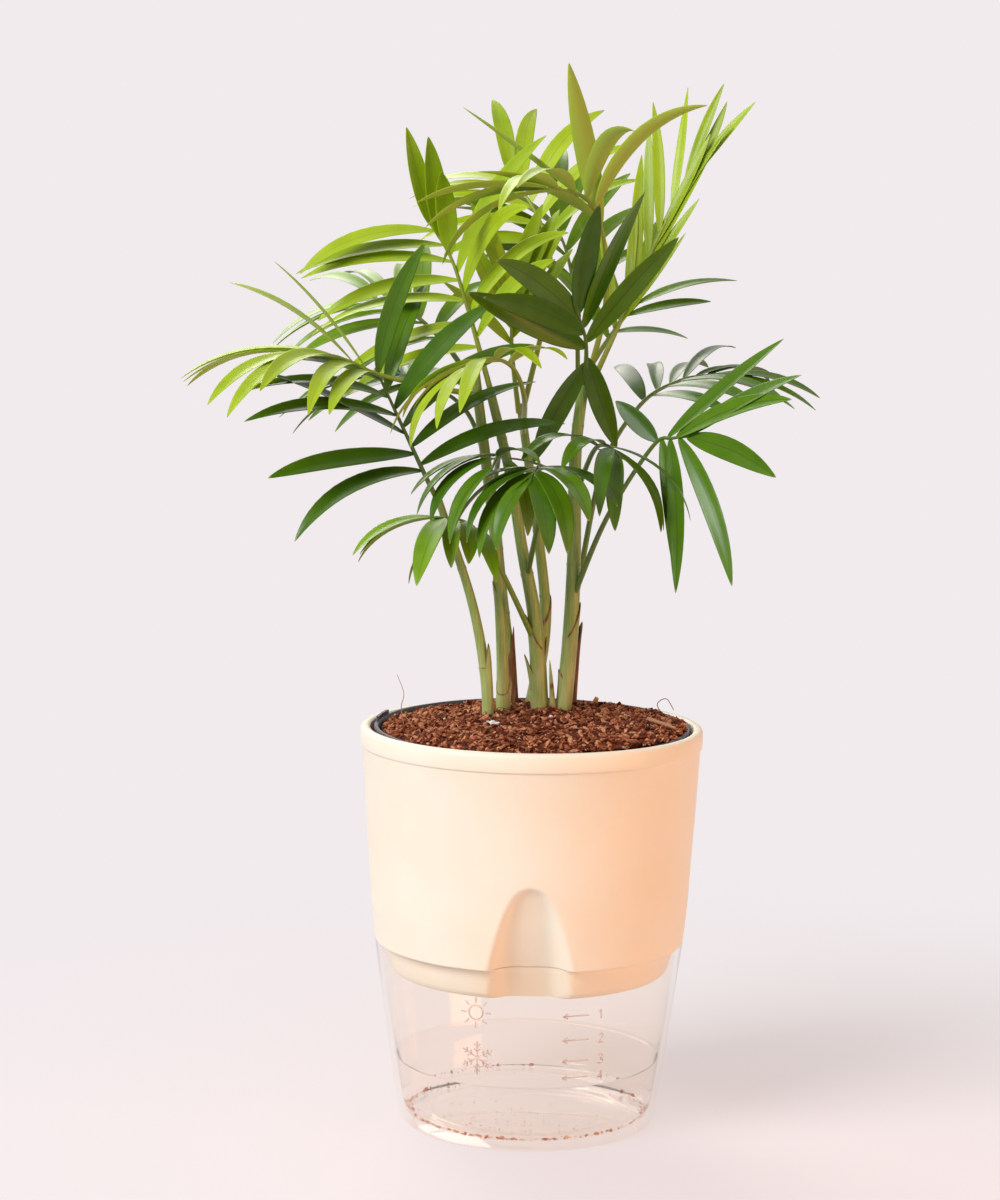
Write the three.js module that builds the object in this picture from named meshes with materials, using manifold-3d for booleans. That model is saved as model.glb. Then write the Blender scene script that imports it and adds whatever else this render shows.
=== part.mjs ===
// A young parlour palm, seven plants in one pot, in a two-part self-watering planter.
// Millimetres, +Z up. Origin: centre of the reservoir's underside. Front, with the filling scoop: -Y.
import * as THREE from 'three';
import { mergeVertices } from 'three/addons/utils/BufferGeometryUtils.js';
import Module from 'manifold-3d';

const wasm = await Module();
wasm.setup();

// ---- driving dimensions ---------------------------------------------------------------------
const GAP = 0.3;                    // clearance between neighbouring pieces
const ROUND = 32;                   // sides of every turned piece

const RESERVOIR_HEIGHT = 60;
const RESERVOIR_WALL = 1.7;
const RESERVOIR_FLOOR = 3;
const RIB_RADIUS = 31;              // low ring moulded on the reservoir's floor
const RIB_WIDTH = 1.6;
const RIB_HEIGHT = 1;
const WATER_LEVEL = 21;
const SCALE_MARKS = [46, 37, 30, 24];   // heights of the level dashes on the reservoir's front
const DASH = [8, 1.2, 0.8];         // width, depth and height of a level dash
const DASH_MIDDLE = 9;              // how far right of the front line the dashes are centred

const SHELL_BOTTOM = 50;            // underside of the insert, inside the reservoir
const SHELL_TOP = 130;
const SHELL_WALL = 2.4;
const RIM_BAND = 6;                 // height of the thicker band round the shell's rim
const SHELL_FLOOR = 3;
const WICK_HOLE_RADIUS = 4;
const DRAIN_HOLE_RADIUS = 2.2;
const DRAIN_HOLE_CIRCLE = 22;
const DRAIN_HOLES = 6;

const SCOOP_RADIUS = 14;            // the scoop is the dent of a leaning cylinder
const SCOOP_TOP = 87;
const SCOOP_LENGTH = 70;            // of the cylinder, enough to cut right through above and below
const SCOOP_REACH_AT_LIP = 41.5;    // from the pot's axis to the scoop's deepest line, at the lip

const LINER_TOP = 130.6;
const LINER_TOP_RADIUS = 50.9;
const LINER_BOTTOM_RADIUS = 33.5;
const LINER_WALL = 1;
const LINER_LIP = 1.4;              // how far the rolled rim stands out from the wall
const LINER_LIP_HEIGHT = 4;
const LINER_TILT = 1.1;             // degrees; the back of the liner stands proud of the shell
const LINER_PIVOT = 126;            // height about which it is tilted

const MIX_EDGE = 127;               // height of the mix at the liner's wall
const MIX_CROWN = 132.5;            // height of the mix around the stems
const ROOT_DEPTH = 7;               // how far each stem goes down into the mix

const PETIOLE_RADIUS = 1.05;
const RACHIS_TIP_RADIUS = 0.45;
const LEAFLET_THICKNESS = 0.7;      // at the midrib
const TOWARDS_SKY = 0.6;            // the usual turn of a leaflet's upper side to the sky, 0 to 1

// ---- the seven palms ------------------------------------------------------------------------
// Points on each stem's axis from the root to the top: [x, y, z, radius].
const ROOT = MIX_CROWN - ROOT_DEPTH;
const STEMS = {
  stem_left: [[-14, -3, ROOT, 2.1], [-15, -3, 145, 1.8], [-20, -4, 171, 1.5], [-31, -7, 204, 1.2]],
  stem_mid_left: [
    [-9, 8, ROOT, 2.4], [-10, 8, 155, 1.9], [-12, 8, 184, 1.8], [-15, 6, 208, 1.8], [-20, 2, 245, 1.6],
  ],
  stem_mid_left_back: [
    [-6, 25, ROOT, 2.2], [-8, 25, 152, 1.8], [-10, 26, 170, 1.6], [-13, 28, 200, 1.3],
  ],
  stem_centre_back: [[-1, 28, ROOT, 2.2], [4, 28, 158, 1.9], [2, 28, 185, 1.7], [-5, 26, 232, 1.4]],
  stem_centre: [
    [3, 11, ROOT, 3.2], [1, 10, 160, 2.4], [-4, 8, 187, 1.9], [-8, 6, 210, 1.7], [-15, 4, 238, 1.5],
  ],
  stem_right: [
    [9.6, 11, ROOT, 2.8], [12, 11, 155, 2.6], [13, 11, 184, 2.3], [13, 11, 218, 2], [16, 10, 246, 1.7],
  ],
  stem_right_back: [[12, 30, ROOT, 2.4], [13, 30, 154, 1.9], [14, 29, 176, 1.4]],
};

// ---- the leaves -----------------------------------------------------------------------------
// path: the petiole and rachis, from inside the stem to the blade's tip; blade: index of the path's
// point where the leaflets begin; face: where the blade's upper side looks; spread: angle of the
// leaflets to the rachis at the blade's start and tip; skew: degrees that one side stands off the
// rachis more than the other; lift: angle of the leaflets above the blade; droop: how far they bend
// down; light: how far their upper sides turn from the blade's face to the sky; tone: age, 0 young
// to 1 old; own: leaflets that grew differently, numbered in pairs from the blade's start, the even
// ones on the left, with scale as their length over the frond's.
const FRONDS = {
  frond_spear: {
    palm: 'stem_right', blade: 1, face: [-0.4, -1, 0.3],
    path: [[18, 10, 240], [24, 8, 254], [32, 10, 272], [40, 12, 290], [49, 14, 306]],
    pairs: 7, length: 42, width: 3.6, spread: [20, 10], skew: -6, lift: 8, droop: 0, tone: 0, seed: 1,
  },
  frond_crown: {
    palm: 'stem_right', blade: 2, face: [-0.6, 0, 1],
    path: [[16.8, 10.6, 242], [21.5, 3, 265], [20, -4, 288], [14, -12, 299], [2, -22, 302]],
    pairs: 5, length: 52, width: 6, spread: [60, 30], lift: 18, droop: 65, tone: 0.25, seed: 2,
    own: {
      0: { spread: 10, lift: 35, droop: 8, scale: 1.05, width: 7.5 },
      1: { spread: 30, lift: 25, droop: 30 },
      3: { spread: 50, lift: 60, droop: 5 },
      9: { spread: 40, lift: 25, droop: 30, width: 8 },
    },
  },
  frond_top_back: {
    palm: 'stem_centre_back', blade: 2, face: [-0.3, -0.8, 0.6],
    path: [[-4.5, 26.5, 228], [3, 31, 262], [4, 33, 281], [-2, 36, 296], [-10, 42, 306]],
    pairs: 5, length: 42, width: 6, spread: [60, 30], lift: 10, droop: 45, tone: 0.15, seed: 3,
  },
  frond_top_left: {
    palm: 'stem_centre', blade: 1, face: [-0.3, -1, 0.3],
    path: [[-14, 4, 235], [-18, 3, 249], [-23, 1, 266], [-28, 0, 280], [-35, -1, 291]],
    pairs: 7, length: 52, width: 6, spread: [64, 34], skew: -16,
    lift: 10, droop: 42, tone: 0.2, seed: 4,
    own: {
      9: { scale: 0.62, width: 6.5 },
      11: { scale: 0.64, width: 7, droop: 5 },
      13: { scale: 0.62, width: 7, droop: 0 },
    },
  },
  frond_far_left: {
    palm: 'stem_mid_left', blade: 2, face: [0.1, -0.1, 1],
    path: [[-19, 3, 236], [-34, -6, 239], [-50, -13, 243], [-61, -18, 248], [-74, -24, 250]],
    pairs: 5, length: 50, width: 6.5, spread: [52, 18], lift: 5, droop: 55, tone: 0.2, seed: 5,
    own: { 1: { spread: 36, lift: 60, droop: 15 }, 3: { spread: 30, lift: 50, droop: 35 } },
  },
  frond_low_left: {
    palm: 'stem_left', blade: 1, face: [0.2, -1, 0.5],
    path: [[-30.5, -7, 202], [-35, -9, 211], [-43, -10, 228], [-51, -11, 245]],
    pairs: 6, length: 52, width: 6.5, spread: [85, 28], lift: 12, droop: 40, tone: 0.85, seed: 6,
    own: {
      0: { spread: 62, droop: 62, scale: 1 },
      2: { spread: 66, droop: 12, width: 8, scale: 1.02 },
      4: { spread: 38, droop: 8 },
    },
  },
  frond_low_front_left: {
    palm: 'stem_centre', blade: 2, face: [0, -0.2, 1],
    path: [[1, 10, 155], [-11, -2, 181], [-19, -10, 194], [-25, -16, 198], [-31, -22, 199]],
    pairs: 4, length: 38, width: 6.5, spread: [75, 26], lift: -5, droop: 60, tone: 0.7, seed: 7,
    own: { 2: { scale: 0.6 }, 4: { scale: 0.7 }, 6: { spread: 34, droop: 50, width: 8, scale: 1 } },
  },
  frond_front: {
    palm: 'stem_centre', blade: 2, face: [0, 0, 1],
    path: [[-2, 8, 178], [2, -10, 203], [1, -24, 214], [0, -34, 216], [-2, -42, 213]],
    pairs: 5, length: 35, width: 7.5, spread: [84, 20], lift: 0, droop: 70, tone: 0.9, seed: 8,
  },
  frond_upper_right: {
    palm: 'stem_right', blade: 1, face: [0.1, -1, 0.4],
    path: [[15, 9.4, 240], [15.5, -1, 246], [15, -8, 255], [12, -14, 264]],
    pairs: 4, length: 50, width: 8, spread: [64, 12],
    lift: 8, droop: 12, light: 0.1, tone: 0.85, seed: 9,
    own: { 0: { spread: 150, lift: 10 }, 1: { spread: 165, lift: 0, scale: 0.8 } },
  },
  frond_right: {
    palm: 'stem_right', blade: 2, face: [-0.5, -1, 0.3],
    path: [[12, 11, 168], [23, 2, 197], [37, -6, 221], [43, -11, 224], [48, -16, 225]],
    pairs: 4, length: 52, width: 6.8, spread: [105, 8],
    lift: 5, droop: 14, light: 0.2, tone: 0.75, seed: 10,
    own: {
      0: { scale: 0.4 },
      2: { spread: 48 },
      4: { spread: 18, droop: 20 },
      5: { spread: 48, droop: 45, scale: 1.05 },
    },
  },
  frond_right_back: {
    palm: 'stem_right_back', blade: 2, face: [0, -0.2, 1],
    path: [[14.5, 28.6, 170], [22, 22, 211], [34, 24, 232], [47, 28, 240], [59, 32, 242]],
    pairs: 6, length: 42, width: 5.5, spread: [66, 20], lift: 12, droop: 42, tone: 0.95, seed: 11,
  },
  frond_mid_left: {
    palm: 'stem_centre_back', blade: 2, face: [-0.3, 0, 1],
    path: [[-4, 26, 222], [-4, -4, 236], [-8, -14, 246], [-16, -24, 249], [-24, -30, 245]],
    pairs: 4, length: 38, width: 6, spread: [70, 26], lift: 8, droop: 60, tone: 0.15, seed: 12,
  },
  frond_mid_upright: {
    palm: 'stem_centre_back', blade: 1, face: [0, -1, 0.2],
    path: [[-5.5, 25.5, 229], [-8, 19, 250], [-8, 18, 270]],
    pairs: 4, length: 36, width: 6, spread: [36, 12], lift: 10, droop: 10, tone: 0.2, seed: 13,
  },
  frond_back_left: {
    palm: 'stem_mid_left_back', blade: 2, face: [0, -0.3, 1],
    path: [[-12, 28, 196], [-21, 34, 226], [-35, 42, 237], [-46, 50, 240]],
    pairs: 5, length: 46, width: 6, spread: [66, 26], lift: 5, droop: 50, tone: 0.9, seed: 14,
  },
  frond_back_right: {
    palm: 'stem_right_back', blade: 2, face: [0.3, -1, 0.3],
    path: [[13.5, 29.4, 174], [14, 35, 230], [13, 40, 262], [10, 46, 280], [5, 52, 292]],
    pairs: 5, length: 44, width: 6, spread: [56, 24], lift: 10, droop: 40, tone: 0.4, seed: 15,
  },
  frond_front_right: {
    palm: 'stem_right', blade: 1, face: [0.2, 0, 1],
    path: [[13, 10, 203], [18, -8, 219], [22, -18, 222], [26, -26, 219]],
    pairs: 4, length: 36, width: 6, spread: [75, 26], lift: 0, droop: 70, tone: 0.8, seed: 17,
  },
  frond_mid_right: {
    palm: 'stem_right', blade: 1, face: [-0.2, -1, 0.6],
    path: [[16.5, 11.4, 244], [22, 18, 252], [28, 24, 260], [34, 28, 266]],
    pairs: 3, length: 42, width: 6, spread: [60, 22], lift: 10, droop: 25, tone: 0.45, seed: 18,
    own: { 1: { scale: 0.6 }, 3: { scale: 0.7 } },
  },
  frond_mid_back: {
    palm: 'stem_mid_left', blade: 1, face: [0, -0.6, 1],
    path: [[-20.5, 3.4, 240], [-30, 16, 252], [-42, 24, 262], [-54, 30, 266]],
    pairs: 5, length: 46, width: 6, spread: [66, 24], lift: 8, droop: 45, tone: 0.45, seed: 19,
  },
  frond_centre_low: {
    palm: 'stem_mid_left', blade: 1, face: [0, -0.2, 1],
    path: [[-13.6, 7, 204], [-12, -10, 216], [-12, -22, 219], [-14, -32, 215]],
    pairs: 4, length: 36, width: 6.5, spread: [80, 28], lift: 2, droop: 65, tone: 0.85, seed: 20,
  },
};

// ---- helpers --------------------------------------------------------------------------------
const vec = (p) => new THREE.Vector3(p[0], p[1], p[2]);
const rad = THREE.MathUtils.degToRad;

// A closed geometry as a solid: shared points merged, empty triangles dropped, faces turned out.
function solid(geometry) {
  const bare = geometry.clone();
  bare.deleteAttribute('normal');
  bare.deleteAttribute('uv');
  const merged = mergeVertices(bare, 1e-3);
  const index = merged.index.array;
  const triVerts = [];
  for (let i = 0; i < index.length; i += 3) {
    const [a, b, c] = [index[i], index[i + 1], index[i + 2]];
    if (a !== b && b !== c && c !== a) triVerts.push(a, b, c);
  }
  const make = (tris) => new wasm.Manifold(new wasm.Mesh({
    numProp: 3,
    vertProperties: new Float32Array(merged.attributes.position.array),
    triVerts: new Uint32Array(tris),
  }));
  const result = make(triVerts);
  return result.volume() > 0 ? result : make(triVerts.reverse());
}

function geometryOf(piece) {
  const mesh = piece.getMesh();
  const geometry = new THREE.BufferGeometry();
  geometry.setAttribute('position', new THREE.BufferAttribute(new Float32Array(mesh.vertProperties), 3));
  geometry.setIndex(new THREE.BufferAttribute(new Uint32Array(mesh.triVerts), 1));
  geometry.computeVertexNormals();
  return geometry;
}

// A profile of [radius, height] points turned about the Z axis.
function turned(profile, sides = ROUND) {
  const points = profile.map(([r, z]) => new THREE.Vector2(r, z));
  return new THREE.LatheGeometry(points, sides).rotateX(Math.PI / 2);
}

// The radius at height z of an outline given as rising [radius, height] points.
function radiusAt(outline, z) {
  const i = Math.max(1, outline.findIndex((p) => p[1] >= z));
  const [[r0, z0], [r1, z1]] = [outline[i - 1], outline[i]];
  return r0 + (r1 - r0) * (z - z0) / (z1 - z0);
}

// A round upright bar between two heights.
function upright(radius, low, high, x = 0, y = 0, sides = 16) {
  const bar = new THREE.CylinderGeometry(radius, radius, high - low, sides).rotateX(Math.PI / 2);
  return solid(bar.translate(x, y, (low + high) / 2));
}

// ---- planter --------------------------------------------------------------------------------
// Outer walls as [radius, height] points from the bottom up; the two meet flush at a thin seam.
const FOOT_RADIUS = 39.7;
const SEAM_RADIUS = 50;
const RESERVOIR_OUTLINE = [
  [41.3, 1.6], [41.9, 4], [43.9, 16.5], [46.85, 36.8], [SEAM_RADIUS, RESERVOIR_HEIGHT],
];
const SHELL_OUTLINE = [
  [SEAM_RADIUS, RESERVOIR_HEIGHT + GAP], [51.2, 72], [52.1, 86], [53.4, 105], [54.6, SHELL_TOP - RIM_BAND],
];
const SEAT = 6;                     // height where the reservoir's wall turns in to its floor
const SEAT_FILLET = 2.6;
const innerWall = (z) => radiusAt(RESERVOIR_OUTLINE, z) - RESERVOIR_WALL;

function reservoir() {
  const inside = [RESERVOIR_HEIGHT, 36.8, 16.5, SEAT].map((z) => [innerWall(z), z]);
  const ribTop = RESERVOIR_FLOOR + RIB_HEIGHT;
  const cup = solid(turned([
    [0, 0], [FOOT_RADIUS, 0], ...RESERVOIR_OUTLINE,
    ...inside, [innerWall(SEAT) - SEAT_FILLET, RESERVOIR_FLOOR],
    [RIB_RADIUS + RIB_WIDTH, RESERVOIR_FLOOR], [RIB_RADIUS + RIB_WIDTH / 2, ribTop],
    [RIB_RADIUS - RIB_WIDTH / 2, ribTop], [RIB_RADIUS - RIB_WIDTH, RESERVOIR_FLOOR],
    [0, RESERVOIR_FLOOR],
  ]));
  const dashes = SCALE_MARKS.map((z) => {
    const reach = Math.sqrt(radiusAt(RESERVOIR_OUTLINE, z) ** 2 - DASH_MIDDLE ** 2);
    return solid(new THREE.BoxGeometry(...DASH).translate(DASH_MIDDLE, -reach, z));
  });
  return wasm.Manifold.union([cup, ...dashes]);
}

function water() {
  const edge = (z) => innerWall(z) - GAP;
  const overRib = RESERVOIR_FLOOR + RIB_HEIGHT + GAP;
  return solid(turned([
    [0, overRib], [RIB_RADIUS + RIB_WIDTH, overRib], [edge(SEAT) - SEAT_FILLET, RESERVOIR_FLOOR + 2 * GAP],
    ...[SEAT, 16.5, WATER_LEVEL].map((z) => [edge(z), z]), [0, WATER_LEVEL],
  ]));
}

// The leaning cylinder that presses the filling scoop into the shell's front.
function scoop(radius) {
  const reachAtTop = radiusAt(SHELL_OUTLINE, SCOOP_TOP);
  const lean = (reachAtTop - SCOOP_REACH_AT_LIP) / (SCOOP_TOP - RESERVOIR_HEIGHT);
  const bar = new THREE.CylinderGeometry(radius, radius, SCOOP_LENGTH, 32).rotateX(Math.PI / 2);
  bar.applyMatrix4(new THREE.Matrix4().makeShear(0, 0, 0, 0, 0, -lean));
  return solid(bar.translate(0, -(SCOOP_REACH_AT_LIP + SCOOP_RADIUS), RESERVOIR_HEIGHT));
}

function planterShell() {
  const floor = SHELL_BOTTOM + SHELL_FLOOR;
  const skirt = [[44, SHELL_BOTTOM], [45.4, SHELL_BOTTOM + 1.5], [47.2, RESERVOIR_HEIGHT + GAP]];
  const band = [[54.9, SHELL_TOP - RIM_BAND + 0.8], [55.2, SHELL_TOP - 0.6], [54.6, SHELL_TOP]];
  const outside = [[0, SHELL_BOTTOM], ...skirt, ...SHELL_OUTLINE, ...band];
  const inside = [
    [52, SHELL_TOP], ...[124, 105, 86, 72].map((z) => [radiusAt(outside, z) - SHELL_WALL, z]),
    [46.6, 63], [44, RESERVOIR_HEIGHT], [42.6, floor], [0, floor],
  ];
  const body = solid(turned([...outside, ...inside]));
  const core = solid(turned([...outside, [0, SHELL_TOP]]));
  const pocket = scoop(SCOOP_RADIUS + SHELL_WALL).intersect(core);
  const holes = [upright(WICK_HOLE_RADIUS, SHELL_BOTTOM - 1, floor + 1)];
  for (let i = 0; i < DRAIN_HOLES; i += 1) {
    const angle = (i / DRAIN_HOLES) * 2 * Math.PI;
    const [x, y] = [DRAIN_HOLE_CIRCLE * Math.cos(angle), DRAIN_HOLE_CIRCLE * Math.sin(angle)];
    holes.push(upright(DRAIN_HOLE_RADIUS, SHELL_BOTTOM - 1, floor + 1, x, y, 10));
  }
  return body.add(pocket).subtract(wasm.Manifold.union([scoop(SCOOP_RADIUS), ...holes]));
}

// The liner and the mix in it stand in the shell tilted a little towards the front.
const LINER_HEEL = (LINER_BOTTOM_RADIUS + 1.5) * Math.sin(rad(LINER_TILT));
const LINER_FLOOR = SHELL_BOTTOM + SHELL_FLOOR + GAP + LINER_HEEL;
function tilted(geometry) {
  return geometry.translate(0, 0, -LINER_PIVOT).rotateX(rad(LINER_TILT)).translate(0, 0, LINER_PIVOT);
}

function nurseryLiner() {
  const neck = LINER_TOP_RADIUS - LINER_LIP;
  const underLip = LINER_TOP - LINER_LIP_HEIGHT;
  const cup = solid(tilted(turned([
    [0, LINER_FLOOR], [LINER_BOTTOM_RADIUS, LINER_FLOOR], [neck, underLip],
    [LINER_TOP_RADIUS, underLip + 0.4], [LINER_TOP_RADIUS, LINER_TOP],
    [neck, LINER_TOP], [neck - LINER_WALL, underLip],
    [LINER_BOTTOM_RADIUS - LINER_WALL, LINER_FLOOR + LINER_WALL], [0, LINER_FLOOR + LINER_WALL],
  ])));
  return cup.subtract(upright(WICK_HOLE_RADIUS, LINER_FLOOR - 2, LINER_FLOOR + 4));
}

function pottingMix(roots) {
  const flare = LINER_TOP_RADIUS - LINER_LIP - LINER_BOTTOM_RADIUS;
  const slope = flare / (LINER_TOP - LINER_LIP_HEIGHT - LINER_FLOOR);
  const reach = (z) => LINER_BOTTOM_RADIUS - LINER_WALL - GAP + slope * (z - LINER_FLOOR);
  const low = LINER_FLOOR + LINER_WALL + GAP;
  const mound = solid(tilted(turned([
    [0, low], [reach(low) - 0.2, low], [reach(MIX_EDGE - 1), MIX_EDGE - 1],
    [reach(MIX_EDGE) - 1.5, MIX_EDGE + 1], [34, MIX_CROWN - 1.2], [18, MIX_CROWN], [0, MIX_CROWN],
  ])));
  return mound.subtract(wasm.Manifold.union(roots));
}

// ---- plants ---------------------------------------------------------------------------------
const curveOf = (points) => new THREE.CatmullRomCurve3(points.map(vec), false, 'catmullrom', 0.5);

// A round bar along a curve; radiusOf gives its radius from the start (0) to the end (1).
function bar(curve, radiusOf, sides, steps) {
  const ring = new THREE.Shape(Array.from({ length: sides }, (_, i) => {
    const angle = (i / sides) * 2 * Math.PI;
    return new THREE.Vector2(Math.cos(angle), Math.sin(angle));
  }));
  const geometry = new THREE.ExtrudeGeometry(ring, { steps, extrudePath: curve, bevelEnabled: false });
  const centres = curve.getSpacedPoints(steps);
  const position = geometry.attributes.position;
  for (let i = 0; i < position.count; i += 1) {
    const point = vec(position.array.slice(3 * i, 3 * i + 3));
    const distances = centres.map((c) => c.distanceToSquared(point));
    const nearest = distances.indexOf(Math.min(...distances));
    const radius = radiusOf(nearest / steps);
    point.sub(centres[nearest]).multiplyScalar(radius).add(centres[nearest]);
    position.setXYZ(i, point.x, point.y, point.z);
  }
  return solid(geometry);
}

function stem(points, extra = 0) {
  const radii = points.map((p) => p[3] + extra);
  const radiusOf = (t) => {
    const s = t * (radii.length - 1);
    const i = Math.min(Math.floor(s), radii.length - 2);
    return radii[i] + (radii[i + 1] - radii[i]) * (s - i);
  };
  return bar(curveOf(points), radiusOf, 7, 2 * (points.length - 1));
}

// Repeatable scatter between -1 and 1.
function scatter(seed, i) {
  const x = Math.sin(seed * 12.9898 + i * 78.233) * 43758.5453;
  return (x - Math.floor(x)) * 2 - 1;
}

// Width of a leaflet along its length, as a share of its greatest width.
const LEAFLET_OUTLINE = [[0.12, 0], [0.9, 0.28], [0.9, 0.6], [0.06, 1]];
const LEAFLET_STEPS = LEAFLET_OUTLINE.length - 1;
const UP = new THREE.Vector3(0, 0, 1);
const DOWN = new THREE.Vector3(0, 0, -1);

// A leaflet is a three-sided bar, flattened and bent down by its own weight.
function leaflet(start, heading, across, length, width, droop, fat) {
  const d = heading.clone().normalize();
  const w = across.clone();
  const rows = [{ centre: start.clone(), d: d.clone(), w: w.clone() }];
  const stride = LEAFLET_OUTLINE.map(([, u], i) => (i ? u - LEAFLET_OUTLINE[i - 1][1] : 0));
  for (let k = 1; k <= LEAFLET_STEPS; k += 1) {
    const u = LEAFLET_OUTLINE[k][1] - stride[k] / 2;
    const axis = new THREE.Vector3().crossVectors(d, DOWN);
    if (axis.length() > 1e-3) {
      const room = d.angleTo(DOWN) / 2;
      const turn = Math.min(rad(droop) * (0.4 + 1.2 * u) * stride[k], room);
      axis.normalize();
      d.applyAxisAngle(axis, turn);
      w.applyAxisAngle(axis, turn);
    }
    const centre = rows[k - 1].centre.clone().addScaledVector(d, length * stride[k]);
    rows.push({ centre, d: d.clone(), w: w.clone() });
  }
  const blade = new THREE.CylinderGeometry(1, 1, 1, 3, LEAFLET_STEPS);
  const position = blade.attributes.position;
  for (let i = 0; i < position.count; i += 1) {
    const k = Math.round((position.getY(i) + 0.5) * LEAFLET_STEPS);
    const { centre, w: side, d: along } = rows[k];
    const up = new THREE.Vector3().crossVectors(side, along).normalize();
    const half = (width * LEAFLET_OUTLINE[k][0]) / 2 + fat;
    const thick = Math.max(LEAFLET_THICKNESS * Math.min(1, LEAFLET_OUTLINE[k][0] + 0.2), 0.25) + fat;
    const point = centre.clone()
      .addScaledVector(side, (position.getX(i) / Math.sin(Math.PI / 3)) * half)
      .addScaledVector(up, position.getZ(i) * thick * 0.6);
    position.setXYZ(i, point.x, point.y, point.z);
  }
  return solid(blade);
}

// ---- leaves ---------------------------------------------------------------------------------
// The petiole and rachis in one bar, cut clear of the stem that it leaves.
function stalk(leaf) {
  const thickness = (t) => PETIOLE_RADIUS + (RACHIS_TIP_RADIUS - PETIOLE_RADIUS) * t;
  const whole = bar(curveOf(leaf.path), thickness, 5, 3 * (leaf.path.length - 1));
  return largest(whole.subtract(stem(STEMS[leaf.palm], GAP)));
}

function largest(piece) {
  return piece.decompose().sort((a, b) => b.volume() - a.volume())[0];
}

function touches(piece, others) {
  const a = piece.boundingBox();
  return others.some((other) => {
    const b = other.boundingBox();
    const apart = [0, 1, 2].some((k) => a.min[k] > b.max[k] || b.min[k] > a.max[k]);
    return !apart && !piece.intersect(other).isEmpty();
  });
}

// What a leaflet tries in turn until it hangs clear of the other leaves: [lift, droop, length].
const WAYS_ROUND = [
  [0, 0, 1], [8, 0, 1], [-8, 0, 1], [15, 8, 1], [-15, 8, 1], [4, 25, 1],
  [24, 0, 0.95], [-24, 0, 0.95], [10, -20, 0.9], [-10, 35, 0.9],
  [34, 10, 0.85], [-34, 10, 0.85], [0, 60, 0.8], [45, 0, 0.75], [-45, 0, 0.75],
];

function leaflets(leaf, others) {
  const curve = curveOf(leaf.path);
  const bladeStart = leaf.blade / (leaf.path.length - 1);
  const face = vec(leaf.face).normalize();
  const grown = [];
  for (let n = 0; n < 2 * leaf.pairs; n += 1) {
    const side = n % 2 ? 1 : -1;
    const along = (Math.floor(n / 2) + 0.5 + 0.18 * side) / leaf.pairs;
    const t = Math.min(1, bladeStart + (1 - bladeStart) * along);
    const forward = curve.getTangent(t);
    const up = face.clone().addScaledVector(forward, -face.dot(forward)).normalize();
    const out = new THREE.Vector3().crossVectors(forward, up).multiplyScalar(side);
    const [wide, narrow] = leaf.spread;
    const share = 0.74 + 0.26 * Math.sin(Math.PI * (0.12 + 0.8 * along));
    const chance = (salt) => scatter(leaf.seed, n + salt);
    const { spread, lift, droop, scale, width, light } = {
      spread: wide + (narrow - wide) * along + (leaf.skew ?? 0) * side + 6 * chance(0),
      lift: leaf.lift + 7 * chance(50),
      droop: leaf.droop * (1 + 0.15 * chance(100)),
      scale: share * (1 + 0.07 * chance(150)),
      width: leaf.width * (1 + 0.1 * chance(200)),
      light: leaf.light ?? TOWARDS_SKY,
      ...leaf.own?.[n],
    };
    const upper = up.clone().multiplyScalar(1 - light).addScaledVector(UP, light);
    const shape = ([lifted, bent, shorter], fat) => {
      const raised = rad(lift + lifted);
      const aside = out.clone().multiplyScalar(Math.cos(raised)).addScaledVector(up, Math.sin(raised));
      const heading = forward.clone().multiplyScalar(Math.cos(rad(spread)));
      heading.addScaledVector(aside, Math.sin(rad(spread)));
      const across = new THREE.Vector3().crossVectors(heading, upper).normalize();
      const length = leaf.length * scale * shorter;
      return leaflet(curve.getPoint(t), heading, across, length, width, droop + bent, fat);
    };
    const way = WAYS_ROUND.find((w) => !touches(shape(w, GAP), others));
    if (way) grown.push(shape(way, 0));
  }
  return grown;
}

// ---- assembly -------------------------------------------------------------------------------
const palm = new THREE.Group();

function add(name, piece, colour, roughness, extra = {}) {
  const material = new THREE.MeshStandardMaterial({ color: colour, roughness, metalness: 0, ...extra });
  const mesh = new THREE.Mesh(geometryOf(piece), material);
  mesh.name = name;
  palm.add(mesh);
}

const clear = { transparent: true, opacity: 0.3 };
add('reservoir', reservoir(), '#eef1f2', 0.08, clear);
add('water', water(), '#e6eef0', 0.03, clear);
add('planter_shell', planterShell(), '#fbd9ae', 0.42);
add('nursery_liner', nurseryLiner(), '#3b3a3e', 0.5);
add('potting_mix', pottingMix(Object.values(STEMS).map((points) => stem(points, GAP))), '#6f3c26', 0.95);

const stems = Object.values(STEMS).map((points) => stem(points));
Object.keys(STEMS).forEach((name, i) => add(name, stems[i], '#93ab58', 0.55));

const young = new THREE.Color('#a3cc3b');
const old = new THREE.Color('#2f6b22');
const names = Object.keys(FRONDS);
const stalks = names.map((name) => stalk(FRONDS[name]));
const placed = [];
names.forEach((name, i) => {
  const otherStalks = stalks.filter((_, j) => j !== i);
  const grown = leaflets(FRONDS[name], [...stems, ...otherStalks, ...placed]);
  placed.push(...grown);
  add(name, wasm.Manifold.union([stalks[i], ...grown]), young.clone().lerp(old, FRONDS[name].tone), 0.45);
});

export default palm;
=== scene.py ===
# %% [markdown]
# # A young parlour palm in a self-watering planter
# Seven slim palms grow together in a two-part planter. The upper part is a cream insert with a scoop
# in its front for filling, and the lower part is a clear water reservoir. The frame gives the size and
# the place of every piece, so each piece below is made in metres where the frame has it. Lengths are
# written in millimetres, because that is how a maker measures them, and MM turns them to metres.

# %% Load the frame
import math

import bpy
from mathutils import Matrix, Vector, noise
from mathutils.bvhtree import BVHTree


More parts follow.
